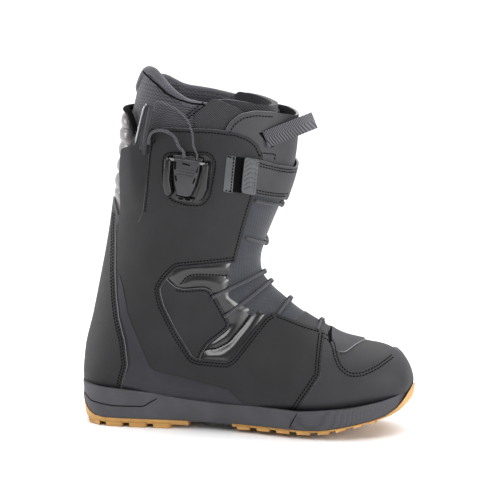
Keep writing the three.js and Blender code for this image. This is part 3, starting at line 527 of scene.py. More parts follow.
def chevron(name, dark, light, pitch, zig, depth=0.3, slope=1.0, roughness=0.9):
    """Textile with raised zigzag rows. pitch is their spacing and zig their width, in millimetres."""
    material, tree, surface = new_material(name, roughness, Sheen_Weight=0.25, Sheen_Roughness=0.5)
    cloth = add_node(tree, "ShaderNodeTexCoord").outputs["UV"]
    axes = add_node(tree, "ShaderNodeSeparateXYZ", inputs={0: cloth}).outputs
    fold = worked_out(tree, "PINGPONG", axes["X"], zig / 2 * MM)
    tilted = worked_out(tree, "MULTIPLY_ADD", fold, slope, axes["Y"])
    turns = worked_out(tree, "MULTIPLY", tilted, 2 * math.pi / (pitch * MM))
    wave = worked_out(tree, "SINE", turns)
    rows = add_node(tree, "ShaderNodeMapRange", inputs={"Value": wave, "From Min": -1.0}).outputs["Result"]
    link_surface(tree, surface, colour_between(tree, rows, dark, light, 0.1, 0.9),
                 bump(tree, rows, depth, 0.9))
    return material


def dotted_foam(name, colour, pitch):
    """Moulded foam with a fine raised dot texture, and painted shade that darkens the gaps between the
    dots.
    """
    material, tree, surface = new_material(name, 0.72)
    inputs = {"Vector": object_coordinates(tree), "Scale": 1 / (pitch * MM), "Randomness": 0.0}
    dots = add_node(tree, "ShaderNodeTexVoronoi", {"feature": "F1"}, inputs).outputs["Distance"]
    high = worked_out(tree, "SUBTRACT", 1.0, dots)
    # The gaps between the raised dots get the darker colour #2c2c30: painted shade in the recesses.
    link_surface(tree, surface, colour_between(tree, dots, colour, "#2c2c30", 0.25, 0.75),
                 bump(tree, high, 0.25, 0.9))
    return material


def braided(name, dark, light):
    """Braided cord: short crossing strands that follow the cord."""
    material, tree, surface = new_material(name, 0.8, Sheen_Weight=0.2)
    strands = waves(tree, "DIAGONAL", object_coordinates(tree), math.pi / 10 / (1.1 * MM), 0.8)
    link_surface(tree, surface, colour_between(tree, strands, dark, light, 0.1, 0.9),
                 bump(tree, strands, 0.2, 0.9))
    return material


leather = coated_leather("coated leather", "#1a1a1c", "#212123")
# The front leather is the side leather made lighter: painted top light, for the light that falls on the toe
# and the vamp from above.
leather_painted_top_light = coated_leather("coated leather, front, painted top light", "#28282a", "#303032")
leather_tongue = coated_leather("coated leather, tongue cap", "#323235", "#3a3a3d")
cut_edge = plain_finish("cut leather edge", "#8f8f93", 0.6, grain=0.6)
# Near-black thread finish. It is also laid as thin plates and cords for painted shade in slots, slits and
# grooves that are not cut.
thread = plain_finish("stitching thread and painted shade", "#040405", 0.9, grain=0.4, Specular_IOR_Level=0.1)
stretch_cloth = woven("stretch cloth", "#232429", "#3f4048", 1.15)
lining_cloth = woven("lining cloth", "#1f1f22", "#333337", 1.6)
collar_textile = chevron("embossed collar textile", "#1f1f23", "#404047", 1.9, 3.0, 0.3, 0.7)
collar_edge = woven("collar binding textile", "#2c2c31", "#5a5a62", 1.4)
rib_knit = ribbed("rib knit", "#111113", "#343439", 1.5, "X", 0.75)
flex_film = plain_finish("glossy flex film", "#0b0b0d", 0.3, grain=1.2, depth=0.04, Specular_IOR_Level=0.55,
                         Coat_Weight=0.35, Coat_Roughness=0.15)
welded_film = plain_finish("welded heel film", "#25252b", 0.45, grain=0.8, depth=0.02,
                           Specular_IOR_Level=0.35)
quilt_satin = plain_finish("quilted satin", "#4d4749", 0.3, grain=1.0, depth=0.05, Sheen_Weight=0.3)
midsole_foam = plain_finish("moulded midsole foam", "#434347", 0.7, grain=0.9, depth=0.1)
bumper_foam = dotted_foam("dotted toe bumper foam, painted shade between dots", "#434347", 1.3)
gum_rubber = plain_finish("gum rubber", "#c2924f", 0.55, grain=1.5, depth=0.08, Subsurface_Weight=0.05)
lace_cord = braided("braided lace", "#1a1a1d", "#4a4a50")
pull_webbing = chevron("woven pull webbing", "#161618", "#55555a", 2.0, 15.0, 0.3, 0.6)
dark_webbing = ribbed("dark webbing", "#151517", "#2d2d31", 1.8, "X", 0.2)
lock_plastic = plain_finish("lock nylon", "#111113", 0.26, grain=0.7, depth=0.02)
lever_plastic = plain_finish("lever nylon", "#2b2b2e", 0.32, grain=0.7, depth=0.02)
tip_rubber = plain_finish("strap tip rubber", "#4b4c4e", 0.5, grain=0.6, depth=0.05)
steel = plain_finish("plain steel", "#9a9a9c", 0.32, 1.0, grain=0.5)
fibre_board = plain_finish("fibre board", "#6f675f", 0.9, grain=0.8)

# ---- camera and light -------------------------------------------------------------------------
AZIMUTH = math.radians(13)
ELEVATION = math.radians(8)
CAMERA_DISTANCE = 2.0
CAMERA_TARGET = (157, 0, 159)
LENS, SENSOR = 160, 36


def add_camera():
    target = place(*CAMERA_TARGET)
    target.y = ORIGIN.y
    away = Vector((math.sin(AZIMUTH) * math.cos(ELEVATION), -math.cos(AZIMUTH) * math.cos(ELEVATION),
                   math.sin(ELEVATION)))
    data = bpy.data.cameras.new("camera")
    data.sensor_width = SENSOR
    data.lens = LENS
    camera = bpy.data.objects.new("camera", data)
    camera.location = target + away * CAMERA_DISTANCE
    camera.rotation_euler = (-away).to_track_quat("-Z", "Y").to_euler()
    bpy.context.scene.collection.objects.link(camera)
    bpy.context.scene.camera = camera


def add_light(name, location, size, power):
    data = bpy.data.lights.new(name, "AREA")
    data.shape = "DISK"
    data.size = size
    data.energy = power
    light = bpy.data.objects.new(name, data)
    light.location = location
    light.rotation_euler = (Vector((0, 0, 0.15)) - Vector(location)).to_track_quat("-Z", "Y").to_euler()
    bpy.context.scene.collection.objects.link(light)


def add_studio():
    """A studio that is bright behind the boot and dim in front of it, with a soft light from above."""
    world = bpy.data.worlds.new("studio")
    world.use_nodes = True
    tree = world.node_tree
    direction = add_node(tree, "ShaderNodeTexCoord").outputs["Generated"]
    behind = add_node(tree, "ShaderNodeSeparateXYZ", inputs={0: direction}).outputs["Y"]
    ends = {"Value": behind, "From Min": -0.1, "From Max": 0.75, "To Min": 0.3, "To Max": 1.05}
    glow = add_node(tree, "ShaderNodeMapRange", inputs=ends).outputs["Result"]
    background = tree.nodes["Background"]
    background.inputs["Color"].default_value = (1, 1, 1, 1)
    tree.links.new(glow, background.inputs["Strength"])
    bpy.context.scene.world = world
    data = bpy.data.lights.new("overhead", "SUN")
    data.angle = math.radians(75)
    data.energy = 3.0
    overhead = bpy.data.objects.new("overhead", data)
    overhead.rotation_euler = (math.radians(-12), math.radians(8), 0)
    bpy.context.scene.collection.objects.link(overhead)
    add_light("front softbox", (-0.7, -1.5, 1.4), 0.8, 12)
    add_light("toe softbox", (1.5, -0.85, 0.45), 1.0, 22)
    add_light("heel softbox", (-1.5, 0.1, 0.6), 0.8, 14)
    material, _, _ = new_material("pale floor", 0.5)
    shader = next(n for n in material.node_tree.nodes if n.type == "BSDF_PRINCIPLED")
    shader.inputs["Base Color"].default_value = (0.93, 0.93, 0.94, 1)
    bm = bmesh.new()
    bmesh.ops.create_circle(bm, cap_ends=True, radius=40, segments=64)
    bmesh.ops.translate(bm, verts=bm.verts, vec=(0, 0, -0.0003))
    floor = finish_mesh("studio_floor", bm, material)
    bpy.context.scene.view_settings.view_transform = "Standard"


add_camera()
add_studio()


# ---- laces and cords --------------------------------------------------------------------------
def tube(name, points, radius, material, sides=10):
    """A round cord along the points (in millimetres), as a mesh."""
    curve = bpy.data.curves.new(name, "CURVE")
    curve.dimensions = "3D"
    curve.bevel_depth = radius * MM
    curve.bevel_resolution = max(1, sides // 4)
    curve.use_fill_caps = True
    line = curve.splines.new("POLY")
    line.points.add(len(points) - 1)
    for point, p in zip(line.points, points):
        point.co = (*(Vector(p) * MM + ORIGIN), 1)
    rough = bpy.data.objects.new(name + "_curve", curve)
    bpy.context.scene.collection.objects.link(rough)
    bpy.context.view_layer.update()
    mesh = bpy.data.meshes.new_from_object(rough.evaluated_get(bpy.context.evaluated_depsgraph_get()))
    mesh.name = name
    bpy.data.objects.remove(rough)
    bm = bmesh.new()
    bm.from_mesh(mesh)
    bmesh.ops.remove_doubles(bm, verts=bm.verts, dist=0.01 * MM)
    bmesh.ops.recalc_face_normals(bm, faces=bm.faces)
    bpy.data.meshes.remove(mesh)
    return finish_mesh(name, bm, material)


def smooth_path(points, per_span=8):
    """A smooth line through the points."""
    line = [Vector(p) for p in points]
    result = []
    for k in range(len(line) - 1):
        a = line[max(k - 1, 0)]
        b, c = line[k], line[k + 1]
        d = line[min(k + 2, len(line) - 1)]
        for i in range(per_span):
            t = i / per_span
            result.append(0.5 * (2 * b + (c - a) * t + (2 * a - 5 * b + 4 * c - d) * t * t
                                 + (3 * b - a - 3 * c + d) * t ** 3))
    result.append(line[-1])
    return result


def lace_points(end, middle, end_lift, middle_lift, count=22):
    """A lace from the outer side over the front to the inner side."""
    s_end, angle_end = locate(*end)
    s_mid, _ = locate(*middle)
    points = []
    for k in range(-count, count + 1):
        t = abs(k) / count
        s = s_mid + (s_end - s_mid) * t ** 1.6
        angle = angle_end * t * (1 if k < 0 else -1)
        points.append(on_boot(s, angle, middle_lift + (end_lift - middle_lift) * t))
    return points


LACE_RADIUS = 1.35
LACES = [
    ("lace_ankle_upper", (131, 121), (169, 139.5), 1.6, 1.5, "ankle"),
    ("lace_ankle_lower", (141, 103), (176, 131), 1.6, 1.5, "ankle"),
    ("lace_instep", (187, 104.5), (194, 116), 0.8, 1.5, "foot"),
    ("lace_toe", (222, 91), (223, 97), 0.8, 1.5, "foot"),
    ("lace_shin_lower", (160, 174), (172, 167), 0.8, 1.5, "shin"),
    ("lace_shin_upper", (169, 208), (184, 202), 0.8, 1.5, "shin"),
]


def make_laces():
    for name, end, middle, end_lift, middle_lift, motion in LACES:
        points = lace_points(end, middle, end_lift, middle_lift)
        lace = tube("braid_" + name, points, LACE_RADIUS, lace_cord)
        s_mid, _ = locate(*middle)
        knot = lace_knot("guide_knot_" + name, s_mid)
        for piece in (lace, knot):
            if motion == "ankle":
                bends_at_ankle(piece)
            elif motion == "foot":
                rides(piece, "foot")
            else:
                bends_with_tongue(piece)
        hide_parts(name)


def lace_knot(name, s):
    """The small sewn guide that holds a lace at the middle of the front."""
    bm = bmesh.new()
    bmesh.ops.create_cube(bm, size=1)
    bmesh.ops.scale(bm, vec=(7.5, 4.6, 4.2), verts=bm.verts)
    bmesh.ops.bevel(bm, geom=bm.edges[:], offset=1.2, segments=3, profile=0.5, affect="EDGES", material=-1)
    normal = skin_normal(s, 0)
    along = (bare_point(s + 0.1, 0) - bare_point(s - 0.1, 0)).normalized()
    across = normal.cross(along)
    turn = Matrix((across, along, normal)).transposed().to_4x4()
    bmesh.ops.transform(bm, matrix=Matrix.Translation(on_boot(s, 0, 1.3)) @ turn, verts=bm.verts)
    bmesh.ops.transform(bm, matrix=Matrix.Translation(ORIGIN) @ Matrix.Scale(MM, 4), verts=bm.verts)
    return finish_mesh(name, bm, lace_cord)


# ---- stitching --------------------------------------------------------------------------------
STITCH_PITCH = 2.9
STITCH_LENGTH = 1.9
STITCH_RISE = 0.12  # how far a row's middle line lies above its panel


def stitch_mesh():
    bm = bmesh.new()
    bmesh.ops.create_cone(bm, cap_ends=True, segments=6, radius1=0.55 * MM, radius2=0.55 * MM,
                          depth=STITCH_LENGTH * MM)
    bmesh.ops.rotate(bm, verts=bm.verts, cent=(0, 0, 0), matrix=Matrix.Rotation(math.pi / 2, 3, "Y"))
    ends = [e for e in bm.edges if abs(e.verts[0].co.x - e.verts[1].co.x) < 1e-6]
    bmesh.ops.bevel(bm, geom=ends, offset=0.2 * MM, segments=1, profile=0.5, affect="EDGES", material=-1)
    mesh = bpy.data.meshes.new("stitch")
    bm.to_mesh(mesh)
    bm.free()
    return mesh


ONE_STITCH = stitch_mesh()


def add_stitches(bm, points):
    """Adds a row of stitches along points, which lie on the surface, in millimetres."""
    walked = 0.0
    for a, b in zip(points, points[1:]):
        length = (b - a).length
        while walked < length:
            centre = a.lerp(b, walked / length)
            turn = (b - a).to_track_quat("X", "Z").to_matrix().to_4x4()
            before = len(bm.verts)
            bm.from_mesh(ONE_STITCH)
            bm.verts.ensure_lookup_table()
            bmesh.ops.transform(bm, matrix=Matrix.Translation(centre * MM + ORIGIN) @ turn,
                                verts=bm.verts[before:])
            walked += STITCH_PITCH
        walked -= length


def stitched(name, rows, offset, both_sides=True):
    """Rows of stitches along side-view lines, at the given offset."""
    bm = bmesh.new()
    for row in rows:
        places = along_side(row, 2.5)
        for sign in ((1, -1) if both_sides else (1,)):
            add_stitches(bm, [on_boot(s, sign * angle, offset) for s, angle in places])
    return finish_mesh(name, bm, thread)


# ---- the upper --------------------------------------------------------------------------------
SIDE_PANEL_TOP = 0.8
MUDGUARD_TOP = 0.5
FLAP_TOP = -0.2
BACKSTAY_TOP = 1.7
VAMP_TOP = -1.0


def side_outline():
    up_the_back = [(45, 31), *BACKSTAY_EDGE[1:], *reversed(SPINE_LINE)]
    bottom = [p for p in reversed(WELT) if 50 < p[0] < 205]
    return [*up_the_back, *CUFF_TOP, *CUFF_FRONT, *WINDOW_REAR, *EYESTAY, *TOE_SEAM[:-1], (211, 25),
            *bottom]


def make_side_panels():
    outline = outer_outline(side_outline())
    for label, shape in on_both_sides(outline):
        piece = panel("side_panel_" + label, shape, SIDE_PANEL_TOP, 2.2, (leather, cut_edge), edge=0.6)
        bends_at_ankle(piece, "quarter_" + label, "cuff_" + label, slot="leatherette")
    top_row = beside(rounded(CUFF_TOP[2:] + CUFF_FRONT[:1], 3, closed=False), -3)
    front_row = beside(rounded(CUFF_FRONT, 3, closed=False), -2.6)
    window = rounded(WINDOW_REAR, 3, closed=False)
    seam = rounded(TOE_SEAM, 3, closed=False)
    rows = [top_row, front_row, beside(window, -2.4), beside(window, -4.8),
            beside(rounded(EYESTAY, 2, closed=False), -2.2),
            beside(seam, -2.4), beside(seam, -5.0)]
    bends_at_ankle(stitched("side_panel_stitches", rows, SIDE_PANEL_TOP + STITCH_RISE))


def distance_to(line, x, z):
    """How far the side-view point (x, z) is from a line of points."""
    here = Vector((x, z))
    best = 1e9
    for a, b in zip(line, line[1:]):
        a, b = Vector(a), Vector(b)
        t = min(max((here - a).dot(b - a) / max((b - a).length_squared, 1e-9), 0), 1)
        best = min(best, (here - a.lerp(b, t)).length)
    return best


UPPER_PLEAT = [(104, 133), (109, 139), (116, 141.5), (130, 141), (147, 139.5)]
LOWER_PLEAT = [(125, 74), (135, 75), (146, 81), (158, 96), (166, 109)]
INSERT_OUTLINE = [(150, 154), (100, 149.5), (89, 139), (81, 127), (86, 111), (111, 65), (116, 62),
                  (146, 61),
                  (179, 104), (186, 106), (176, 109.5), (164, 112.5), (155, 116.5), (148, 122), (148, 132),
                  (150, 142)]


def inside(outline, x, z):
    """Whether the side-view point (x, z) is inside the closed outline."""
    result = False
    for (x0, z0), (x1, z1) in zip(outline, outline[1:] + outline[:1]):
        if (z0 > z) != (z1 > z) and x < x0 + (z - z0) / (z1 - z0) * (x1 - x0):
            result = not result
    return result


def make_flex_inserts():
    """Glossy film that creases in front of the ankle, sewn down along two pleats."""
    edge = INSERT_OUTLINE + INSERT_OUTLINE[:1]
    flap_edge = FLAP + FLAP[:1]

    def puffed(s, angle):
        point = bare_point(s, abs(angle))
        if inside(FLAP, point.x, point.z):
            return -2.2
        gap = min(distance_to(line, point.x, point.z)
                  for line in (UPPER_PLEAT, LOWER_PLEAT, edge, flap_edge))
        return -2.0 + 2.6 * math.sin(min(gap / 10.0, 1.0) * math.pi / 2)

    outline = outer_outline(INSERT_OUTLINE)
    for label, shape in on_both_sides(outline):
        piece = panel("flex_film_" + label, shape, -1.2, 0.8, (flex_film,), lift=puffed, station_step=0.9,
                      angle_step=0.9, edge=0)
        bends_at_ankle(piece, "flex_inset_" + label, "ankle_gusset_" + label, slot="gloss_insert")
    rows = [rounded(UPPER_PLEAT, 4, closed=False), rounded(LOWER_PLEAT, 4, closed=False)]
    bends_at_ankle(stitched("pleat_stitches", rows, -1.2))


def make_ankle_flaps():
    outline = outer_outline(FLAP)
    for label, shape in on_both_sides(outline):
        piece = panel("lace_flap_" + label, shape, FLAP_TOP, 1.3, (leather, cut_edge), edge=0.5)
        bends_at_ankle(piece, "ankle_flap_" + label, slot="leatherette")
    free_edge = rounded(FLAP[4:], 3, closed=False)
    bends_at_ankle(stitched("flap_stitches", [beside(free_edge, 2.2)], FLAP_TOP + STITCH_RISE))


HEEL_WEDGE = [(44, 139), (48, 128), (53, 105), (75, 56), (80, 53), (149, 40), (157, 32), (166, 24),
              (120, 27), (50, 32), (44, 33), (57, 58), (53, 82), (46, 102), (43, 120)]


def make_heel():
    wedge = outer_outline(HEEL_WEDGE, 2)
    for label, shape in on_both_sides(wedge):
        piece = panel("heel_film_" + label, shape, SIDE_PANEL_TOP + 0.35, 0.9, (welded_film,), edge=0.3)
        bends_at_ankle(piece, "ankle_wedge_" + label, slot="tpu")
    line = [(14.5, 204), (24, 206), (34, 205), *reversed(BACKSTAY_EDGE[1:]), (46, 33), (20, 33), (0, 34)]
    strip = panel("heel_backstay", round_back(rounded(line, 2.5, closed=False)), BACKSTAY_TOP, 1.7,
                  (leather, cut_edge))
    bends_at_ankle(strip, "backstay", slot="leatherette")
    edge = rounded(BACKSTAY_EDGE, 3, closed=False)
    rows = [beside(edge, 2.4), beside(edge, 4.8)]
    bends_at_ankle(stitched("backstay_stitches", rows, BACKSTAY_TOP + STITCH_RISE))


SPINE_EDGE = [*reversed(SPINE_LINE), (56, 260), (54, 270), (51, 279), (46, 285)]


def make_spine():
    """The quilted panel up the back of the cuff, and its padded black top."""
    channel = 14.0

    def quilted(s, angle):
        point = bare_point(s, angle)
        t = (point.z - 172 + (point.x - 40) * 0.15) / channel % 1.0
        puff = math.sqrt(max(0.0, 1 - (2 * t - 1) ** 2))
        gap = distance_to(SPINE_EDGE, point.x, point.z) / 5.0 if point.x > 20 else 1.0
        edge = math.sqrt(min(1.0, gap)) * min(1.0, max(0.0, (point.z - 200) / 14))
        return -1.4 + 3.8 * puff * edge - 2.8 * min(1.0, max(0.0, (point.z - 212) / 50))

    line = [(20, 172), (41, 172), *reversed(SPINE_LINE[:-1]), (56, 260), (54, 270), (51, 279), (46, 285),
            (30, 286)]
    outline = round_back(line)
    panel_piece = panel("spine_quilt", outline, 0, 1.2, (quilt_satin,), lift=quilted,
                        station_step=0.75, angle_step=1.2, edge=0)
    bends_at_ankle(panel_piece, "spine_panel", slot="textile")
    band = [(30, 286), (44, 286), (51.5, 284), (56, 278), (59, 271), (61.5, 266)]
    half = along_side(band)
    ring = [on_boot(s, a, -2.2) for s, a in reversed(half)] + [on_boot(s, -a, -2.2) for s, a in half[1:]]
    binding = tube("spine_top_binding", smooth_path(ring, 2), 2.6, thread, 12)
    rides(binding, "cuff", "spine_binding", slot="textile")


def make_toe():
    line = [(304, 74), *reversed(MUDGUARD_EDGE[:-1]), (226, 91), *[(p[0] - 4, p[1]) for p in TOE_SEAM[1:]],
            (212, 24), *[p for p in WELT if p[0] > 213]]
    half = along_side(rounded(line[:-1], 2.5, closed=False))
    start_s = locate(296.8, 69.5)[0]
    half = [(start_s, 0.0)] + half[2:]
    bottom_angle = half[-1][1]
    half.append((LAST - 0.001, bottom_angle))
    whole = wrapped(half)
    guard = panel("toe_guard", whole, MUDGUARD_TOP, 1.9, (leather_painted_top_light, cut_edge), edge=0.5)
    rides(guard, "foot", "toe_mudguard", slot="leatherette")
    top_line = [(236, 88.5), (238, 80), (240, 70), (246, 57), (270, 53), (294, 64), (299, 68)]
    vamp_half = along_side(top_line) + [front_station(299.5, 64)]
    vamp_half[0] = (vamp_half[0][0], 0.0)
    vamp = panel("toe_vamp", wrapped(vamp_half), VAMP_TOP, 1.0,
                 (leather_painted_top_light,), edge=0)
    rides(vamp, "foot", "toe_cap", slot="leatherette")
    edge = rounded(MUDGUARD_EDGE[:-1], 3, closed=False)
    rides(stitched("toe_guard_stitches", [beside(edge, -2.4), beside(edge, -4.8)],
                   MUDGUARD_TOP + STITCH_RISE), "foot")
    base = [(230, 94.6), (230.5, 91), (236, 80), (242, 75), (250, 75), (257, 80)]
    base_half = [front_station(231.5, 94)] + along_side(rounded(base, 2, closed=False))
    base_half.append(front_station(262.5, 81.6))
    patch = panel("tongue_base_patch", wrapped(base_half),
                  VAMP_TOP + 1.6, 1.5, (leather_tongue, cut_edge))
    rides(patch, "foot", "tongue_base", slot="textile")


def crease_share(s, low, high):
    """0 where the front of the cut at s is below the height low, 1 where it is above high."""
    return min(1.0, max(0.0, (spline(COLUMNS[1], s) - low) / (high - low)))


def make_tongue_leather():
    """The smooth coated part of the tongue, between the stretch cloth and the toe."""
    side = [(199, 98.5), (200.5, 92), (226, 84), (236, 80)]
    half = [front_station(208.5, 106)] + along_side(side)
    half.append(front_station(236, 92))
    piece = panel("tongue_lower_leather", wrapped(half), -0.1, 1.2,
                  (leather_painted_top_light, cut_edge), edge=0.3)
    rides(piece, "foot", slot="leatherette")
    # The slots beside the tongue are near-black patches in the thread finish: painted shade in the slots.
    slot = [(231.5, 95), (231.2, 88), (234.5, 80.5), (236.5, 82), (233.6, 89)]
    for label, shape in on_both_sides(outer_outline(slot, 1), ("outer", "inner")):
        rides(panel("tongue_slot_shade_" + label, shape, VAMP_TOP + 1.85, 0.5, (thread,), edge=0.15), "foot")


def make_tongue():
    """Stretch cloth over the instep and the shin, and the coated cap at the top."""
    low_side = [(152, 157), (147, 150), (143, 136), (142, 120), (148, 112), (164, 104), (200, 94),
                (226, 86), (237, 80)]
    half = [front_station(171, 166)] + along_side(low_side)
    half.append(front_station(240, 87.5))
    low = panel("instep_cloth", wrapped(half), -0.9, 1.2, (stretch_cloth,),
                lift=lambda s, angle: -0.8 - 1.2 * crease_share(s, 157, 166), edge=0)
    bends_at_ankle(low, "tongue_lower", slot="textile")
    high_side = [(172, 252), (169, 226), (164, 210), (157, 189), (151, 168), (149, 152.5)]
    half = [front_station(197, 247)] + along_side(high_side)
    half.append(front_station(167.5, 152.5))
    high = panel("shin_cloth", wrapped(half), -0.6, 2.4, (stretch_cloth,),
                 lift=lambda s, angle: -0.7 - 1.2 * (1 - crease_share(s, 152, 158)), edge=0)
    bends_with_tongue(high, "tongue_upper", slot="textile")
    cap_side = [(201, 282), (185, 286.5), (172, 288), (160, 285.5), (151.5, 279), (146, 270), (150, 258),
                (170, 243), (180, 237)]
    half = [front_station(200, 281.5)] + along_side(rounded(cap_side[1:], 3, closed=False))
    half.append(front_station(196, 234))
    cap = panel("tongue_cap_shell", wrapped(half), 0.3, 2.4,
                (leather_tongue, cut_edge), edge=0.7)
    rides(cap, "tongue", "tongue_cap", slot="leatherette")
    row = beside(rounded(cap_side[1:6], 3, closed=False), 4.2)
    rides(stitched("cap_stitches", [row], 0.45), "tongue")
    box = [(176.5, 245), (176.5, 251), (186.5, 249), (186, 243)]
    rides(stitched("cap_box_stitches", [box], 0.45, both_sides=False), "tongue")


def make_shell():
    """The dark inner shell that shows in the gaps between the panels."""
    line = [(30, 284), (48, 284), (58, 262), (80, 269), (140, 269), (148, 262), (150, 240), (142, 205),
            (137, 172), (140, 160)]
    outline_top = along_side(line, 4.0)
    half = [(outline_top[0][0], math.pi)] + outline_top + [front_station(168, 162)]
    bottom = [(LAST - 0.4, 0.0), (LAST - 0.4, math.pi)]
    whole = half + bottom
    bm = flat_panel(whole)
    cut_grid(bm, 3.0, 4.0)
    mirror = flat_panel([(s, -a) for s, a in reversed(whole)])
    cut_grid(mirror, 3.0, 4.0)
    join_into(bm, mirror)
    lay_on_boot(bm, lambda s, angle: -2.3)
    bmesh.ops.remove_doubles(bm, verts=bm.verts, dist=0.05 * MM)
    bmesh.ops.recalc_face_normals(bm, faces=bm.faces)
    shell = finish_mesh("inner_shell", bm, lining_cloth)
    wall = shell.modifiers.new("wall", "SOLIDIFY")
    wall.thickness = 2.0 * MM
    wall.offset = -1
    bends_at_ankle(shell, "shell_base_lower", "shell_base_cuff", slot="textile")


# ---- the liner --------------------------------------------------------------------------------
LINER_TOP = -3.2


def rim_places(rim, drop):
    """The collar's rim in stations and angles, from the back round one side to the front."""
    line = [Vector((p[0], p[1] - drop)) for p in rim]
    half = along_side(line, 4.0)
    return [(half[0][0], math.pi)] + half[1:-1] + [(half[-1][0], 0.0)]


def leg_sleeve(name, outer_top, inner_top, bottom_station, lift, materials, step=2.0, front=0.0):
    """A sleeve round the leg from a top line down to a station, open in front up to the front angle."""
    bm = bmesh.new()
    for sign, top in ((1, outer_top), (-1, inner_top)):
        outline = [(s, sign * a) for s, a in top if a > front]
        outline += [(outline[-1][0], sign * front), (bottom_station, sign * front),
                    (bottom_station, sign * math.pi)]
        half = flat_panel(outline)
        cut_grid(half, step, 2.2)
        join_into(bm, half)
    lay_on_boot(bm, lift)
    bmesh.ops.remove_doubles(bm, verts=bm.verts, dist=0.05 * MM)
    bmesh.ops.recalc_face_normals(bm, faces=bm.faces)
    return finish_mesh(name, bm, *materials)


def make_liner():
    def collar_lift(s, angle):
        back = max(0.0, -math.cos(angle)) ** 2
        high = min(1.0, max(0.0, (2.2 - s) / 0.8))
        return LINER_TOP - 0.3 - 5.6 * back * high

    outside = leg_sleeve("liner_collar", rim_places(RIM_OUTER, 5), rim_places(RIM_INNER, 5), 4.0,
                         collar_lift, (collar_textile,), front=0.8)
    wall = outside.modifiers.new("wall", "SOLIDIFY")
    wall.thickness = 7.5 * MM
    wall.offset = -1
    rides(outside, "cuff", "liner_cuff", slot="foam")
    straight = [(3.6, math.pi), (3.6, math.pi / 2), (3.6, 0.0)]
    inside = leg_sleeve("liner_lining", straight, straight, LAST - 1.6,
                        lambda s, a: -11.5 - max(0.0, s - 15) * 0.2, (lining_cloth,), 3.0)
    bends_at_ankle(inside, "liner_foot", slot="foam")

    def in_rim(s, angle):
        return on_boot(s, angle, -7.0 - 3.6 * max(0.0, -math.cos(angle)) ** 2)

    outer = [in_rim(s, a) for s, a in rim_places(RIM_OUTER, 4.4) if a > 0.2]
    inner = [in_rim(s, -a) for s, a in rim_places(RIM_INNER, 4.4)[1:] if a > 0.2]
    ring = [p for p in reversed(inner) if p.x < 150] + [p for p in outer if p.x < 150]
    smooth = [ring[max(k - 1, 0)].lerp(ring[min(k + 1, len(ring) - 1)], 0.5).lerp(p, 0.5)
              for k, p in enumerate(ring)]
    roll = tube("collar_roll", smooth_path(smooth, 3), 4.0, collar_edge, 16)
    rides(roll, "cuff", "collar_binding", slot="textile")
    for label, sign, rim in (("outer", 1, RIM_OUTER), ("inner", -1, RIM_INNER)):
        if label == "outer":
            under_roll = [(65.5, 320.5), (70, 317.5), (82, 309.5), (92, 302), (104, 297), (116, 294),
                          (128, 293)]
        else:
            under_roll = [(p[0], p[1] - 8.2) for p in rim if 62 < p[0] < 132]
        places = along_side(under_roll, 2.5)
        line = [on_boot(s, sign * a, LINER_TOP - 0.2) for s, a in places]
        rides(tube("collar_seam_" + label, line, 0.8, thread, 6), "cuff")
    knit = [(119, 262), (119.6, 286), (134.9, 298), (142, 297), (158, 290), (166, 284), (176, 262)]
    diagonal = [Vector((112, 280)), Vector((128.5, 292.5))]
    for label, shape in on_both_sides(outer_outline(knit, 2), ("outer", "inner")):
        ribs = panel("rib_knit_gusset_" + label, shape, LINER_TOP + 0.9, 1.2, (rib_knit,), edge=0.3)
        rides(ribs, "cuff", slot="textile")
    rides(stitched("gusset_stitches", [diagonal, beside(diagonal, 3)], LINER_TOP + 0.9, both_sides=False),
          "cuff")
    pad_top = [(180, 292), (172, 293.5), (158, 296), (146, 297.5), (134, 296)]
    half = [front_station(180, 294)] + along_side(pad_top)
    half += [(1.9, 1.25), (2.4, 1.1), (4.0, 0.62), (5.6, 0.55), (5.6, 0.0)]

    def leans_back(s, angle):
        high = min(1.0, max(0.0, (3.4 - s) / 2.0))
        return -6.4 - 13 * high * max(0.0, math.cos(angle)) ** 2

    tongue = panel("liner_tongue_pad", wrapped(half), 0, 5.5, (rib_knit,), lift=leans_back, edge=1.5)
    rides(tongue, "tongue", "liner_tongue", slot="foam")


# ---- the sole ---------------------------------------------------------------------------------
SOLE_PLAN = [(2, 2), (6, -20), (20, -36), (42, -41.5), (90, -39), (130, -38.5), (170, -45), (212, -55),
             (250, -53),
             (280, -40.5), (298, -21), (307.5, 2), (300, 25), (282, 44), (250, 55), (212, 56.5), (170, 46),
             (130, 37), (90, 38.5), (42, 41.5), (20, 36), (6, 21)]
GUM_TOP = [(-4, 34), (1, 30), (4, 24), (8, 17), (13, 12), (20, 9), (30, 7.8), (225, 7.8), (240, 9.2),
           (258, 12.6), (275, 16.4), (287, 20), (296, 26), (302, 34), (308, 46)]
SOLE_LINE = [(-4, 22), (1, 15), (4, 8), (8, 3), (13, 0.5), (18, 0), (120, 0), (165, 2), (225, 2.6),
             (240, 4), (258, 7.8), (275, 11.4), (290, 15.6), (298, 19.6), (304, 26), (308, 34)]


def height_on(line, x):
    for a, b in zip(line, line[1:]):
        if x <= b[0]:
            return a[1] + (b[1] - a[1]) * max(0.0, (x - a[0]) / (b[0] - a[0]))
    return line[-1][1]


def plan_ring(inset):
    """The sole's outline in plan, moved in by inset."""
    line = [Vector(p) for p in SOLE_PLAN]
    steps = 6
    ring = smooth_path(line[-1:] + line + line[:2], steps)[steps:steps + len(line) * steps]
    result = []
    for k, here in enumerate(ring):
        along = (ring[(k + 1) % len(ring)] - ring[k - 1]).normalized()
        depth = inset(here.x) if callable(inset) else inset
        result.append(here + Vector((-along.y, along.x)) * depth)
    return result


def ring_y(ring, x, side):
    """The y of the closed plan ring at x, on the given side (-1 outer, 1 inner)."""
    found = []
    for a, b in zip(ring, ring[1:] + ring[:1]):
        if min(a.x, b.x) <= x <= max(a.x, b.x) and a.x != b.x:
            y = a.y + (b.y - a.y) * (x - a.x) / (b.x - a.x)
            if y * side > 0:
                found.append(y)
    return max(found, key=abs) if found else side * 8.0


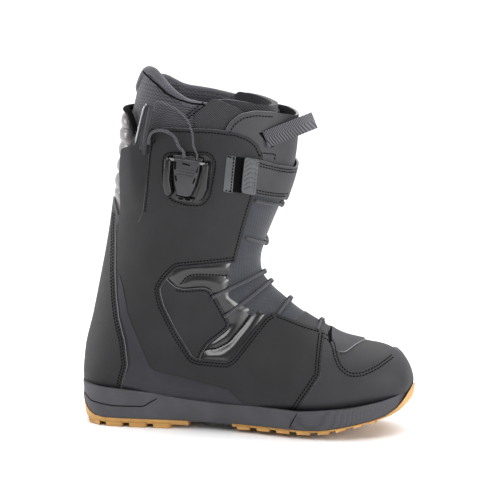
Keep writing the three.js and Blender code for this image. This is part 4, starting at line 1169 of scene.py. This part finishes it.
def sole_layer(name, rings, materials):
    """A closed body through rings of (inset, height function) from the bottom up."""
    bm = bmesh.new()
    loops = []
    for inset, height in rings:
        verts = [bm.verts.new(place(p.x, p.y, height(p.x))) for p in plan_ring(inset)]
        loops.append([bm.edges.new((verts[k - 1], verts[k])) for k in range(len(verts))])
    for low, high in zip(loops, loops[1:]):
        bmesh.ops.bridge_loops(bm, edges=low + high)
    bmesh.ops.contextual_create(bm, geom=loops[0])
    bmesh.ops.contextual_create(bm, geom=loops[-1])
    bmesh.ops.recalc_face_normals(bm, faces=bm.faces)
    piece = finish_mesh(name, bm, *materials)
    piece.data.set_sharp_from_angle(angle=math.radians(42))
    return piece


def make_midsole():
    """Foam between the gum and the welt line, with a dotted bumper round the toe."""

    def bottom(x):
        return min(height_on(GUM_TOP, x) - 1.2, height_on(WELT, x) - 1.5)

    def share(t):
        return lambda x: bottom(x) + (height_on(WELT, x) - bottom(x)) * t

    def drawn_in(inset):
        return lambda x: inset + 2.2 * min(1.0, max(0.0, (x - 296) / 8))

    rings = [(drawn_in(3.2), share(0.0)), (drawn_in(1.6), share(0.03)), (drawn_in(0.6), share(0.14)),
             (drawn_in(0.1), share(0.4)), (drawn_in(0.0), share(0.72)), (drawn_in(-0.5), share(0.9)),
             (drawn_in(-0.3), share(0.985)), (drawn_in(0.8), share(1.0)), (3.8, share(0.99)),
             (4.6, share(0.9))]
    piece = sole_layer("midsole_body", rings, (midsole_foam, bumper_foam))
    bumper_from = place(210, 0, 0).x
    lean = 0.55
    for face in piece.data.polygons:
        centre = face.center
        upright = abs(face.normal.z) < 0.75
        if upright and centre.x > bumper_from + (centre.z - 0.02) * lean:
            face.material_index = 1
    rides(piece, "foot", "midsole", "toe_bumper", slot="midsole")
    # The groove along the heel is not cut into the foam: a thin near-black cord along it is painted shade.
    groove = [(8, 26), (16, 21.5), (40, 19), (68, 19.5), (73, 23), (80, 27)]
    points = []
    for p in spaced(rounded(groove, 3, closed=False), 2.0):
        points.append(Vector((p.x, ring_y(plan_ring(0.0), p.x, -1) - 0.05, p.y)))
    rides(tube("midsole_groove_shade", points, 0.45, thread, 6), "foot")
    # Where the dotted bumper meets the foam, a thin near-black cord on each side is painted shade in the
    # groove.
    ring = plan_ring(0.1)
    for label, side in (("outer", -1), ("inner", 1)):
        seam = [Vector((x, ring_y(ring, x, side) + side * 0.4, z))
                for x, z in ((205, 9.5), (207, 14), (210, 19), (212, 23))]
        rides(tube("bumper_groove_shade_" + label, seam, 0.35, thread, 6), "foot")


def gum_lip(x):
    """How far the gum's top edge lies inside the sole's outline: it stands out at the toe and heel."""
    return 0.6 - 1.2 * min(1.0, max(0.0, (x - 285) / 15)) - 1.0 * min(1.0, max(0.0, (14 - x) / 12))


def make_outsole():
    """Gum rubber under the heel and the forefoot, with square lugs."""
    for name, low, high, nodes in (("gum_heel", -5, 108, "outsole_heel"),
                                   ("gum_forefoot", 150, 312, "outsole_forefoot")):
        rings = [(2.4, lambda x: height_on(SOLE_LINE, x) + 3.2),
                 (1.4, lambda x: height_on(SOLE_LINE, x) + 4.0),
                 (gum_lip, lambda x: height_on(GUM_TOP, x) - 0.3),
                 (3.5, lambda x: height_on(GUM_TOP, x) + 0.1)]
        slab = sole_layer(name + "_slab", rings, (gum_rubber,))
        bm = bmesh.new()
        bm.from_mesh(slab.data)
        bpy.data.objects.remove(slab)
        for x, outward in ((low, -1), (high, 1)):
            cut = bmesh.ops.bisect_plane(bm, geom=bm.verts[:] + bm.edges[:] + bm.faces[:], dist=1e-7,
                                         plane_co=place(x, 0, 0), plane_no=(outward, 0, 0),
                                         clear_outer=True)
            open_edges = [e for e in cut["geom_cut"] if isinstance(e, bmesh.types.BMEdge)]
            if open_edges:
                bmesh.ops.contextual_create(bm, geom=open_edges)
        add_lugs(bm, low, high)
        bmesh.ops.recalc_face_normals(bm, faces=bm.faces)
        gum = finish_mesh(name, bm, gum_rubber)
        gum.data.set_sharp_from_angle(angle=math.radians(35))
        rides(gum, "foot", nodes, slot="gum")


HEEL_LUGS = [(13, 26), (32, 48), (54, 70), (76, 92)]
FOREFOOT_LUGS = [(154, 167), (173, 186), (192, 205), (211, 224), (230, 241), (246, 256), (261, 269),
                 (274, 280)]


LUG_TOP = 4.4
LUG_HEIGHTS = ((150, 4.4), (250, 3.2), (400, 2.2))


def add_lugs(bm, low, high):
    ring = plan_ring(1.2)
    for x0, x1 in HEEL_LUGS + FOREFOOT_LUGS:
        if not low <= x0 <= high:
            continue
        for side in (-1, 1):
            edge = [ring_y(ring, x, side) for x in (x0, x1)]
            inner = [y - side * 14 for y in edge]
            add_lug(bm, (x0, x1), edge, inner)
            core = [side * 3.0, side * 3.0]
            gap = [y - side * 6 for y in inner]
            if min(abs(g) for g in gap) > 7:
                add_lug(bm, (x0, x1), gap, core)


def add_lug(bm, xs, y_edge, y_core):
    """A square lug between two x places, from the y of its outer face to that of its inner face."""
    made = bmesh.ops.create_cube(bm, size=1)["verts"]
    centre = (sum(y_edge) + sum(y_core)) / 4
    for v in made:
        end = 1 if v.co.x > 0 else 0
        x = xs[end]
        y = y_edge[end] if v.co.y > 0 else y_core[end]
        height = next(h for end_x, h in LUG_HEIGHTS if x < end_x)
        top = v.co.z > 0
        if not top:
            x += 0.7 if end == 0 else -0.7
            y += 0.7 if y < centre else -0.7
        v.co = place(x, y, height_on(SOLE_LINE, x) + (LUG_TOP if top else LUG_TOP - height))
    edges = list({e for v in made for e in v.link_edges})
    bmesh.ops.bevel(bm, geom=edges, offset=0.5 * MM, segments=2, profile=0.5, affect="EDGES", material=-1)


# ---- strap, loop, lock and handle -------------------------------------------------------------
def make_strap():
    top_front = front_station(196.5, 235.5)
    low_front = front_station(190.5, 206.5)
    outer_line = rounded([(189, 239.3), (172.6, 246), (168.6, 214.6), (184, 209.5)], 1.5, closed=False)
    inner_line = [Vector((184, 209.5)), Vector((146, 222)), Vector((150, 251.5)), Vector((190, 241.2))]
    outer = [locate(p.x, p.y) for p in spaced(outer_line, 3.0)]
    inner = [locate(p.x, p.y) for p in spaced(inner_line, 3.0)]
    outline = [top_front] + outer + [low_front] + [(s, -a) for s, a in inner]
    strap = panel("strap_band", outline, 4.3, 2.0, (leather_tongue, cut_edge), station_step=1.8,
                  angle_step=1.8, edge=0.6)
    rides(strap, "strap", "power_strap", slot="webbing")
    rows = []
    for drop in (2.6, 5.0):
        rows.append([Vector((170, 246.6 - drop)), Vector((196, 236.8 - drop))])
        rows.append([Vector((170.5, 214 + drop)), Vector((189, 208.2 + drop))])
    rows.append([Vector((171.2, 243)), Vector((167.6, 217))])
    rides(stitched("strap_stitches", rows, 4.42, both_sides=False), "strap")
    tip_shape = [(162.6, 248.2), (173.2, 246), (168.9, 214.4), (158.4, 217.2)]
    tip = panel("strap_tip_pad", outer_outline(tip_shape, 2.5), 4.9, 2.4, (tip_rubber,), edge=0.7)
    rides(tip, "strap", "strap_tip", slot="plastic")
    veins = []
    for k in range(7):
        z = 219.5 + k * 4.0
        veins.append([Vector((160.2 + k * 0.45, z)), Vector((165.0 + k * 0.4, z + 3.2)),
                      Vector((170 + k * 0.4, z + 1.2))])
    bm = bmesh.new()
    for vein in veins:
        add_rib(bm, [side_point(p.x, p.y, 5.0) for p in spaced(vein, 1.2)], 0.5)
    rides(finish_mesh("strap_tip_ribs", bm, tip_rubber), "strap")
    slot_shape = [(155.5, 248), (163, 247), (159, 215.5), (151.5, 217)]
    slot = panel("strap_hook_patch", outer_outline(slot_shape, 1.5), 1.1, 1.2, (thread,), edge=0.3)
    rides(slot, "cuff", "strap_landing", slot="textile")
    frame_shape = [(148, 249.5), (155.5, 248.3), (151.5, 215.8), (144, 217.2)]
    sewn = panel("strap_frame_patch", outer_outline(frame_shape, 1.2), 1.5, 0.9, (tip_rubber,), edge=0.3)
    rides(sewn, "cuff")
    rows = [beside(rounded(frame_shape, 1, closed=True), -1.4, closed=True)]
    rides(stitched("strap_frame_stitches", rows, 1.62, both_sides=False), "cuff")
    anchor_shape = [(128, 257), (164, 247), (159, 217), (123, 227)]
    anchor = panel("strap_inner_anchor", mirrored(outer_outline(anchor_shape, 2)), 1.8, 1.3,
                   (leather_tongue, cut_edge))
    rides(anchor, "cuff", "strap_anchor", slot="webbing")


def add_rib(bm, points, radius):
    """A thin round rib along the points, added to a mesh."""
    loops = []
    for k, here in enumerate(points):
        along = (points[min(k + 1, len(points) - 1)] - points[max(k - 1, 0)]).normalized()
        turn = along.to_track_quat("Z", "Y").to_matrix().to_4x4()
        made = bmesh.ops.create_circle(bm, segments=6, radius=radius * MM)["verts"]
        bmesh.ops.transform(bm, matrix=Matrix.Translation(here * MM + ORIGIN) @ turn, verts=made)
        loops.append(list({e for v in made for e in v.link_edges}))
    for a, b in zip(loops, loops[1:]):
        bmesh.ops.bridge_loops(bm, edges=a + b)
    bmesh.ops.contextual_create(bm, geom=loops[0])
    bmesh.ops.contextual_create(bm, geom=loops[-1])


LOOP_ROOT = (180, 262.5)
LOOP_TIP = (214, 276.5)
LOOP_WIDTH = 15


def make_pull_loop():
    root = side_point(LOOP_ROOT[0], LOOP_ROOT[1], 2.6)
    plan = [Vector((root.x - 0.6, root.y + 0.6)), Vector((root.x + 1, root.y)),
            Vector((194, root.y + 7)), Vector((208, -19)), Vector((LOOP_TIP[0] + 1, 0))]
    half = smooth_path(plan, 8)
    whole = half + [Vector((p.x, -p.y)) for p in reversed(half[:-1])]
    slope = (LOOP_TIP[1] - LOOP_ROOT[1]) / (LOOP_TIP[0] - LOOP_ROOT[0])
    up = Vector((-slope, 0, 1)).normalized()
    bm = bmesh.new()
    rails = []
    for level in range(7):
        height = (level / 6 - 0.5) * LOOP_WIDTH
        rail = []
        for p in whole:
            middle = Vector((p.x, p.y, LOOP_ROOT[1] + (p.x - LOOP_ROOT[0]) * slope))
            rail.append(bm.verts.new(place(*(middle + up * height))))
        rails.append(rail)
    edges = [[bm.edges.new((a, b)) for a, b in zip(rail, rail[1:])] for rail in rails]
    for low, high in zip(edges, edges[1:]):
        bmesh.ops.bridge_loops(bm, edges=low + high)
    bmesh.ops.recalc_face_normals(bm, faces=bm.faces)
    add_cloth_map(bm, lambda co: (((co - ORIGIN).z / MM - ((co - ORIGIN).x / MM - LOOP_ROOT[0]) * slope),
                                  (co - ORIGIN).x / MM))
    loop = finish_mesh("pull_loop_webbing", bm, pull_webbing)
    wall = loop.modifiers.new("wall", "SOLIDIFY")
    wall.thickness = 1.8 * MM
    wall.offset = 0
    bevel = loop.modifiers.new("edge", "BEVEL")
    bevel.width = 0.5 * MM
    bevel.segments = 2
    bevel.limit_method = "ANGLE"
    rides(loop, "pull_loop", "tongue_pull_loop", slot="webbing")
    # The slit that the loop comes through is a near-black patch in the thread finish: painted shade in the
    # slit.
    slit = [(174.5, 268.5), (177, 269.5), (186, 256), (183.5, 255)]
    for label, shape in on_both_sides(outer_outline(slit, 1), ("outer", "inner")):
        rides(panel("loop_slit_shade_" + label, shape, 0.7, 0.6, (thread,), edge=0.2), "tongue")


def local_frame(x, z, lean):
    """Right, inward and up directions and the place of a skin point on the outer side."""
    here = side_point(x, z)
    right = (side_point(x + 4, z) - side_point(x - 4, z)).normalized()
    rise = (side_point(x + 4 * lean.x, z + 4 * lean.z) - side_point(x - 4 * lean.x,
                                                                    z - 4 * lean.z)).normalized()
    inward = rise.cross(right).normalized()
    right = inward.cross(rise).normalized()
    turn = Matrix((right, inward, rise)).transposed().to_4x4()
    return Matrix.Translation(ORIGIN) @ Matrix.Scale(MM, 4) @ Matrix.Translation(here) @ turn


LEG_LEAN = Vector((0.12, 0, 1)).normalized()


def plate(profile, low, high, bevel_width=0.6, taper=1.0, segments=3):
    """A plate with the given (x, z) outline between two depths, in a local frame, as a bmesh."""
    bm = bmesh.new()
    face = bm.faces.new([bm.verts.new((x, low, z)) for x, z in profile])
    made = bmesh.ops.extrude_face_region(bm, geom=[face])["geom"]
    top = [v for v in made if isinstance(v, bmesh.types.BMVert)]
    bmesh.ops.translate(bm, verts=top, vec=(0, high - low, 0))
    centre = Vector((sum(v.co.x for v in top), 0, sum(v.co.z for v in top))) / len(top)
    for v in top:
        v.co.x = centre.x + (v.co.x - centre.x) * taper
        v.co.z = centre.z + (v.co.z - centre.z) * taper
    bmesh.ops.recalc_face_normals(bm, faces=bm.faces)
    bmesh.ops.bevel(bm, geom=bm.edges[:], offset=bevel_width, segments=segments, profile=0.5,
                    affect="EDGES", material=-1)
    return bm


def join_into(bm, other):
    spare = bpy.data.meshes.new("spare")
    other.to_mesh(spare)
    other.free()
    bm.from_mesh(spare)
    bpy.data.meshes.remove(spare)


def plates_on_boot(name, plates, to_boot, material):
    """One piece from several plates, each given as the values of plate(), in a local frame."""
    bm = bmesh.new()
    for values in plates:
        join_into(bm, plate(*values))
    bmesh.ops.transform(bm, matrix=to_boot, verts=bm.verts)
    return finish_mesh(name, bm, material)


def make_lock():
    """The lace lock: a moulded tray with two rails, and a hinged lever with a ribbed grip."""
    to_boot = local_frame(113, 228, LEG_LEAN)
    tray_line = [(94, 248), (92.5, 236), (93.5, 219), (98, 211), (111, 207), (124, 206.5), (130, 213),
                 (135, 236), (136, 243), (132, 249.5)]
    tray = panel("lock_tray", outer_outline(tray_line, 4), 2.6, 2.2, (lock_plastic,), edge=0.8)
    rides(tray, "cuff", "lock_base", slot="plastic")
    rows = [beside(rounded(tray_line, 4), -2.6, closed=True)]
    rides(stitched("lock_stitches", [row + row[:1] for row in rows], SIDE_PANEL_TOP + STITCH_RISE,
                   both_sides=False), "cuff")
    left = [(-20.5, 18), (-16.5, 19.5), (-14.2, 17), (-14.0, -2), (-10.5, -14), (-13.5, -18.5),
            (-17, -16), (-20.2, -6)]
    right = [(-x, z) for x, z in reversed(left)]
    blocks = [
        (left, -1.5, -10.2, 1.3, 0.9),
        (right, -1.5, -10.2, 1.3, 0.9),
        ([(-13, 21), (13, 21), (13.5, 17.5), (-13.5, 17.5)], -1.5, -6.5, 0.8),
        ([(-9, -15.5), (9, -15.5), (7.5, -20), (-7.5, -20)], -1.5, -6, 1.2),
        ([(-6, 22), (-1.5, 22), (-1.5, 15), (-6, 15)], -2, -7.5, 0.8),
        ([(1, 22), (6.5, 22), (6.5, 15), (1, 15)], -2, -7.5, 0.8),
    ]
    rides(plates_on_boot("lock_rails", blocks, to_boot, lock_plastic), "cuff", slot="plastic")
    cover = [(-12.6, 18.5), (-9, 19.4), (9, 19.4), (12.6, 18.5), (12.4, 9), (9.6, -6), (6.4, -14),
             (4, -15.2), (-4, -15.2), (-6.4, -14), (-9.6, -6), (-12.4, 9)]
    blocks = [(cover, -6.0, -9.6, 1.2, 0.93, 4)]
    for k in range(3):
        z = 9.2 - k * 2.6
        half = 8.2 - k * 0.5
        ridge = [(-half, z + 0.8), (half, z + 0.8), (half, z - 0.6), (-half, z - 0.6)]
        blocks.append((ridge, -9.2, -10.3, 0.35))
    lever = plates_on_boot("lock_lever_cover", blocks, to_boot, lever_plastic)
    rides(lever, "lever", "lock_lever", slot="plastic")
    # The lever's slots are not cut: thin near-black plates on its face are painted shade for them.
    slot_shade_shapes = [[(-3.6, 15.6), (3.2, 14.8), (3.2, 13.4), (-3.6, 14.0)],
             [(-11.2, 15.5), (-9.2, 15.9), (-9.0, 8.6), (-10.6, 8.2)],
             [(11.2, 15.5), (9.0, 8.6), (10.6, 8.2)],
             [(-9.8, 3.6), (-8.2, 3.2), (-6.9, -1.4), (-8.2, -1.8)],
             [(9.8, 3.6), (8.2, -1.8), (6.9, -1.4), (8.2, 3.2)]]
    blocks = [(shape, -9.3, -9.85, 0.15, 1.0, 1) for shape in slot_shade_shapes]
    rides(plates_on_boot("lever_slot_shade", blocks, to_boot, thread), "lever")
    # Two thin near-black plates on the tray are painted shade for its two bottom slots.
    blocks = []
    for x in (-3.2, 3.2):
        slot = [(x - 2.4, -16.4), (x + 2.4, -16.4), (x + 2.0, -18.2), (x - 2.0, -18.2)]
        blocks.append((slot, -5.8, -6.25, 0.15, 1.0, 1))
    rides(plates_on_boot("tray_slot_shade", blocks, to_boot, thread), "cuff")


def make_pocket_and_handle():
    pocket_line = [(55.5, 252.5), (79, 261), (77.5, 250), (72.5, 213), (70, 197), (66, 187), (43.5, 186),
                   (46.5, 210), (50, 232)]

    def pouch(s, angle):
        point = bare_point(s, angle)
        high = min(1.0, max(0.0, (point.z - 200) / 50))
        from_seam = (75 + (point.z - 250) * 0.12 - point.x) / 12
        across = math.sin(min(1.0, max(0.0, from_seam)) * math.pi / 2)
        return 1.05 + 8.0 * high * across

    pouch_piece = panel("handle_pocket", outer_outline(pocket_line, 2), 0, 1.3, (leather, cut_edge),
                        lift=pouch, station_step=1.0, angle_step=0.8, edge=0.5)
    rides(pouch_piece, "cuff", "pocket", slot="leatherette")
    seam = rounded([(82, 261), (79.5, 259.5), (77, 250), (72.8, 213), (70.5, 197)], 2, closed=False)
    rides(stitched("pocket_stitches", [beside(seam, 1.6)], SIDE_PANEL_TOP + STITCH_RISE, both_sides=False),
          "cuff")
    foot = side_point(62, 204, 5.2)
    head = side_point(72.5, 258, 5.2)
    axis = (head - foot).normalized()
    out = (side_point(67, 230, 9) - side_point(67, 230, 4)).normalized()
    inward = -(out - axis * out.dot(axis)).normalized()
    right = inward.cross(axis).normalized()
    turn = Matrix((right, inward, axis)).transposed().to_4x4()
    to_boot = Matrix.Translation(ORIGIN) @ Matrix.Scale(MM, 4) @ Matrix.Translation(foot) @ turn
    tab_line = [(-4.4, 50), (4.0, 50), (7.0, 64), (8, 86), (7.5, 91.6), (-1.5, 91.6), (-2.4, 86),
                (-5.0, 58)]
    bm = plate(tab_line, 1.4, -0.6, 0.6)
    bmesh.ops.transform(bm, matrix=to_boot, verts=bm.verts)
    tab = finish_mesh("handle_tab", bm, dark_webbing)
    rides(tab, "pull_handle", "handle", slot="webbing")

    def along_handle(places):
        return [(to_boot @ Vector(p) - ORIGIN) / MM for p in places]

    bm = bmesh.new()
    edge_line = [(-5.6, -1.4, 50), (-4.8, -1.6, 62), (-3.4, -1.8, 76), (-2.0, -1.8, 87), (0.0, -1.8, 92)]
    add_rib(bm, along_handle(edge_line), 0.9)
    rides(finish_mesh("handle_edge", bm, steel), "pull_handle")
    grip_line = [(2.6, 3.4, 46), (3.4, 1.4, 54), (4.6, -0.8, 66), (5.6, -1.4, 78), (6.2, -1.4, 91)]
    grip = tube("handle_grip", smooth_path(along_handle(grip_line), 4), 2.5, leather_painted_top_light, 16)
    rides(grip, "pull_handle", slot="webbing")
    return to_boot


THIN_STRAND = 1.7
THICK_STRAND = 2.6


def make_pull_strands(handle_to_boot):
    """The two free strands from the lock, over the collar, to the pull handle."""
    lock_to_boot = local_frame(113, 228, LEG_LEAN)

    def local(matrix, *point):
        return (matrix @ Vector(point) - ORIGIN) / MM

    upper = [local(lock_to_boot, 8, -6.5, 18), local(lock_to_boot, 8, -7.2, 24), side_point(121, 258, 9),
             side_point(119.5, 271, 9), side_point(113, 284, 9), side_point(101, 292, 9),
             side_point(89, 295, 8),
             local(handle_to_boot, 8.6, -1.6, 88)]
    lower = [local(lock_to_boot, -4, -6.5, 18), local(lock_to_boot, -4, -7.2, 24), side_point(108, 257, 8),
             side_point(105, 264, 8), side_point(98, 269.5, 8), side_point(88, 270, 7.5),
             side_point(82, 266, 7),
             local(handle_to_boot, 7.6, 0.2, 57)]
    for name, route, node, diameter in (("pull_strand_upper", upper, "pull_lace_upper", THIN_STRAND),
                                        ("pull_strand_lower", lower, "pull_lace_lower", THICK_STRAND)):
        path = smooth_path(route, 5)
        strand = tube(name, path, diameter / 2, lace_cord, 12)
        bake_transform(strand)
        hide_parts(node)


def finish_hidden_nodes():
    """Gives the pieces inside the boot their own finish."""
    finishes = {
        "heel_crash_pad": midsole_foam, "shank": lock_plastic, "lasting_board": fibre_board,
        "heel_counter": fibre_board, "toe_puff": fibre_board, "footbed": lining_cloth,
        "lock_pin": steel, "lock_spring": steel, "lock_jaw": lock_plastic,
    }
    for name, material in finishes.items():
        node = frame["nodes"][name]
        node.data.materials.clear()
        node.data.materials.append(material)


handle_place = make_pocket_and_handle()
make_pull_strands(handle_place)
make_shell()
make_liner()
make_tongue()
make_tongue_leather()
make_toe()
make_flex_inserts()
make_ankle_flaps()
make_heel()
make_spine()
make_side_panels()
make_laces()
make_midsole()
make_outsole()
make_strap()
make_pull_loop()
make_lock()
finish_hidden_nodes()
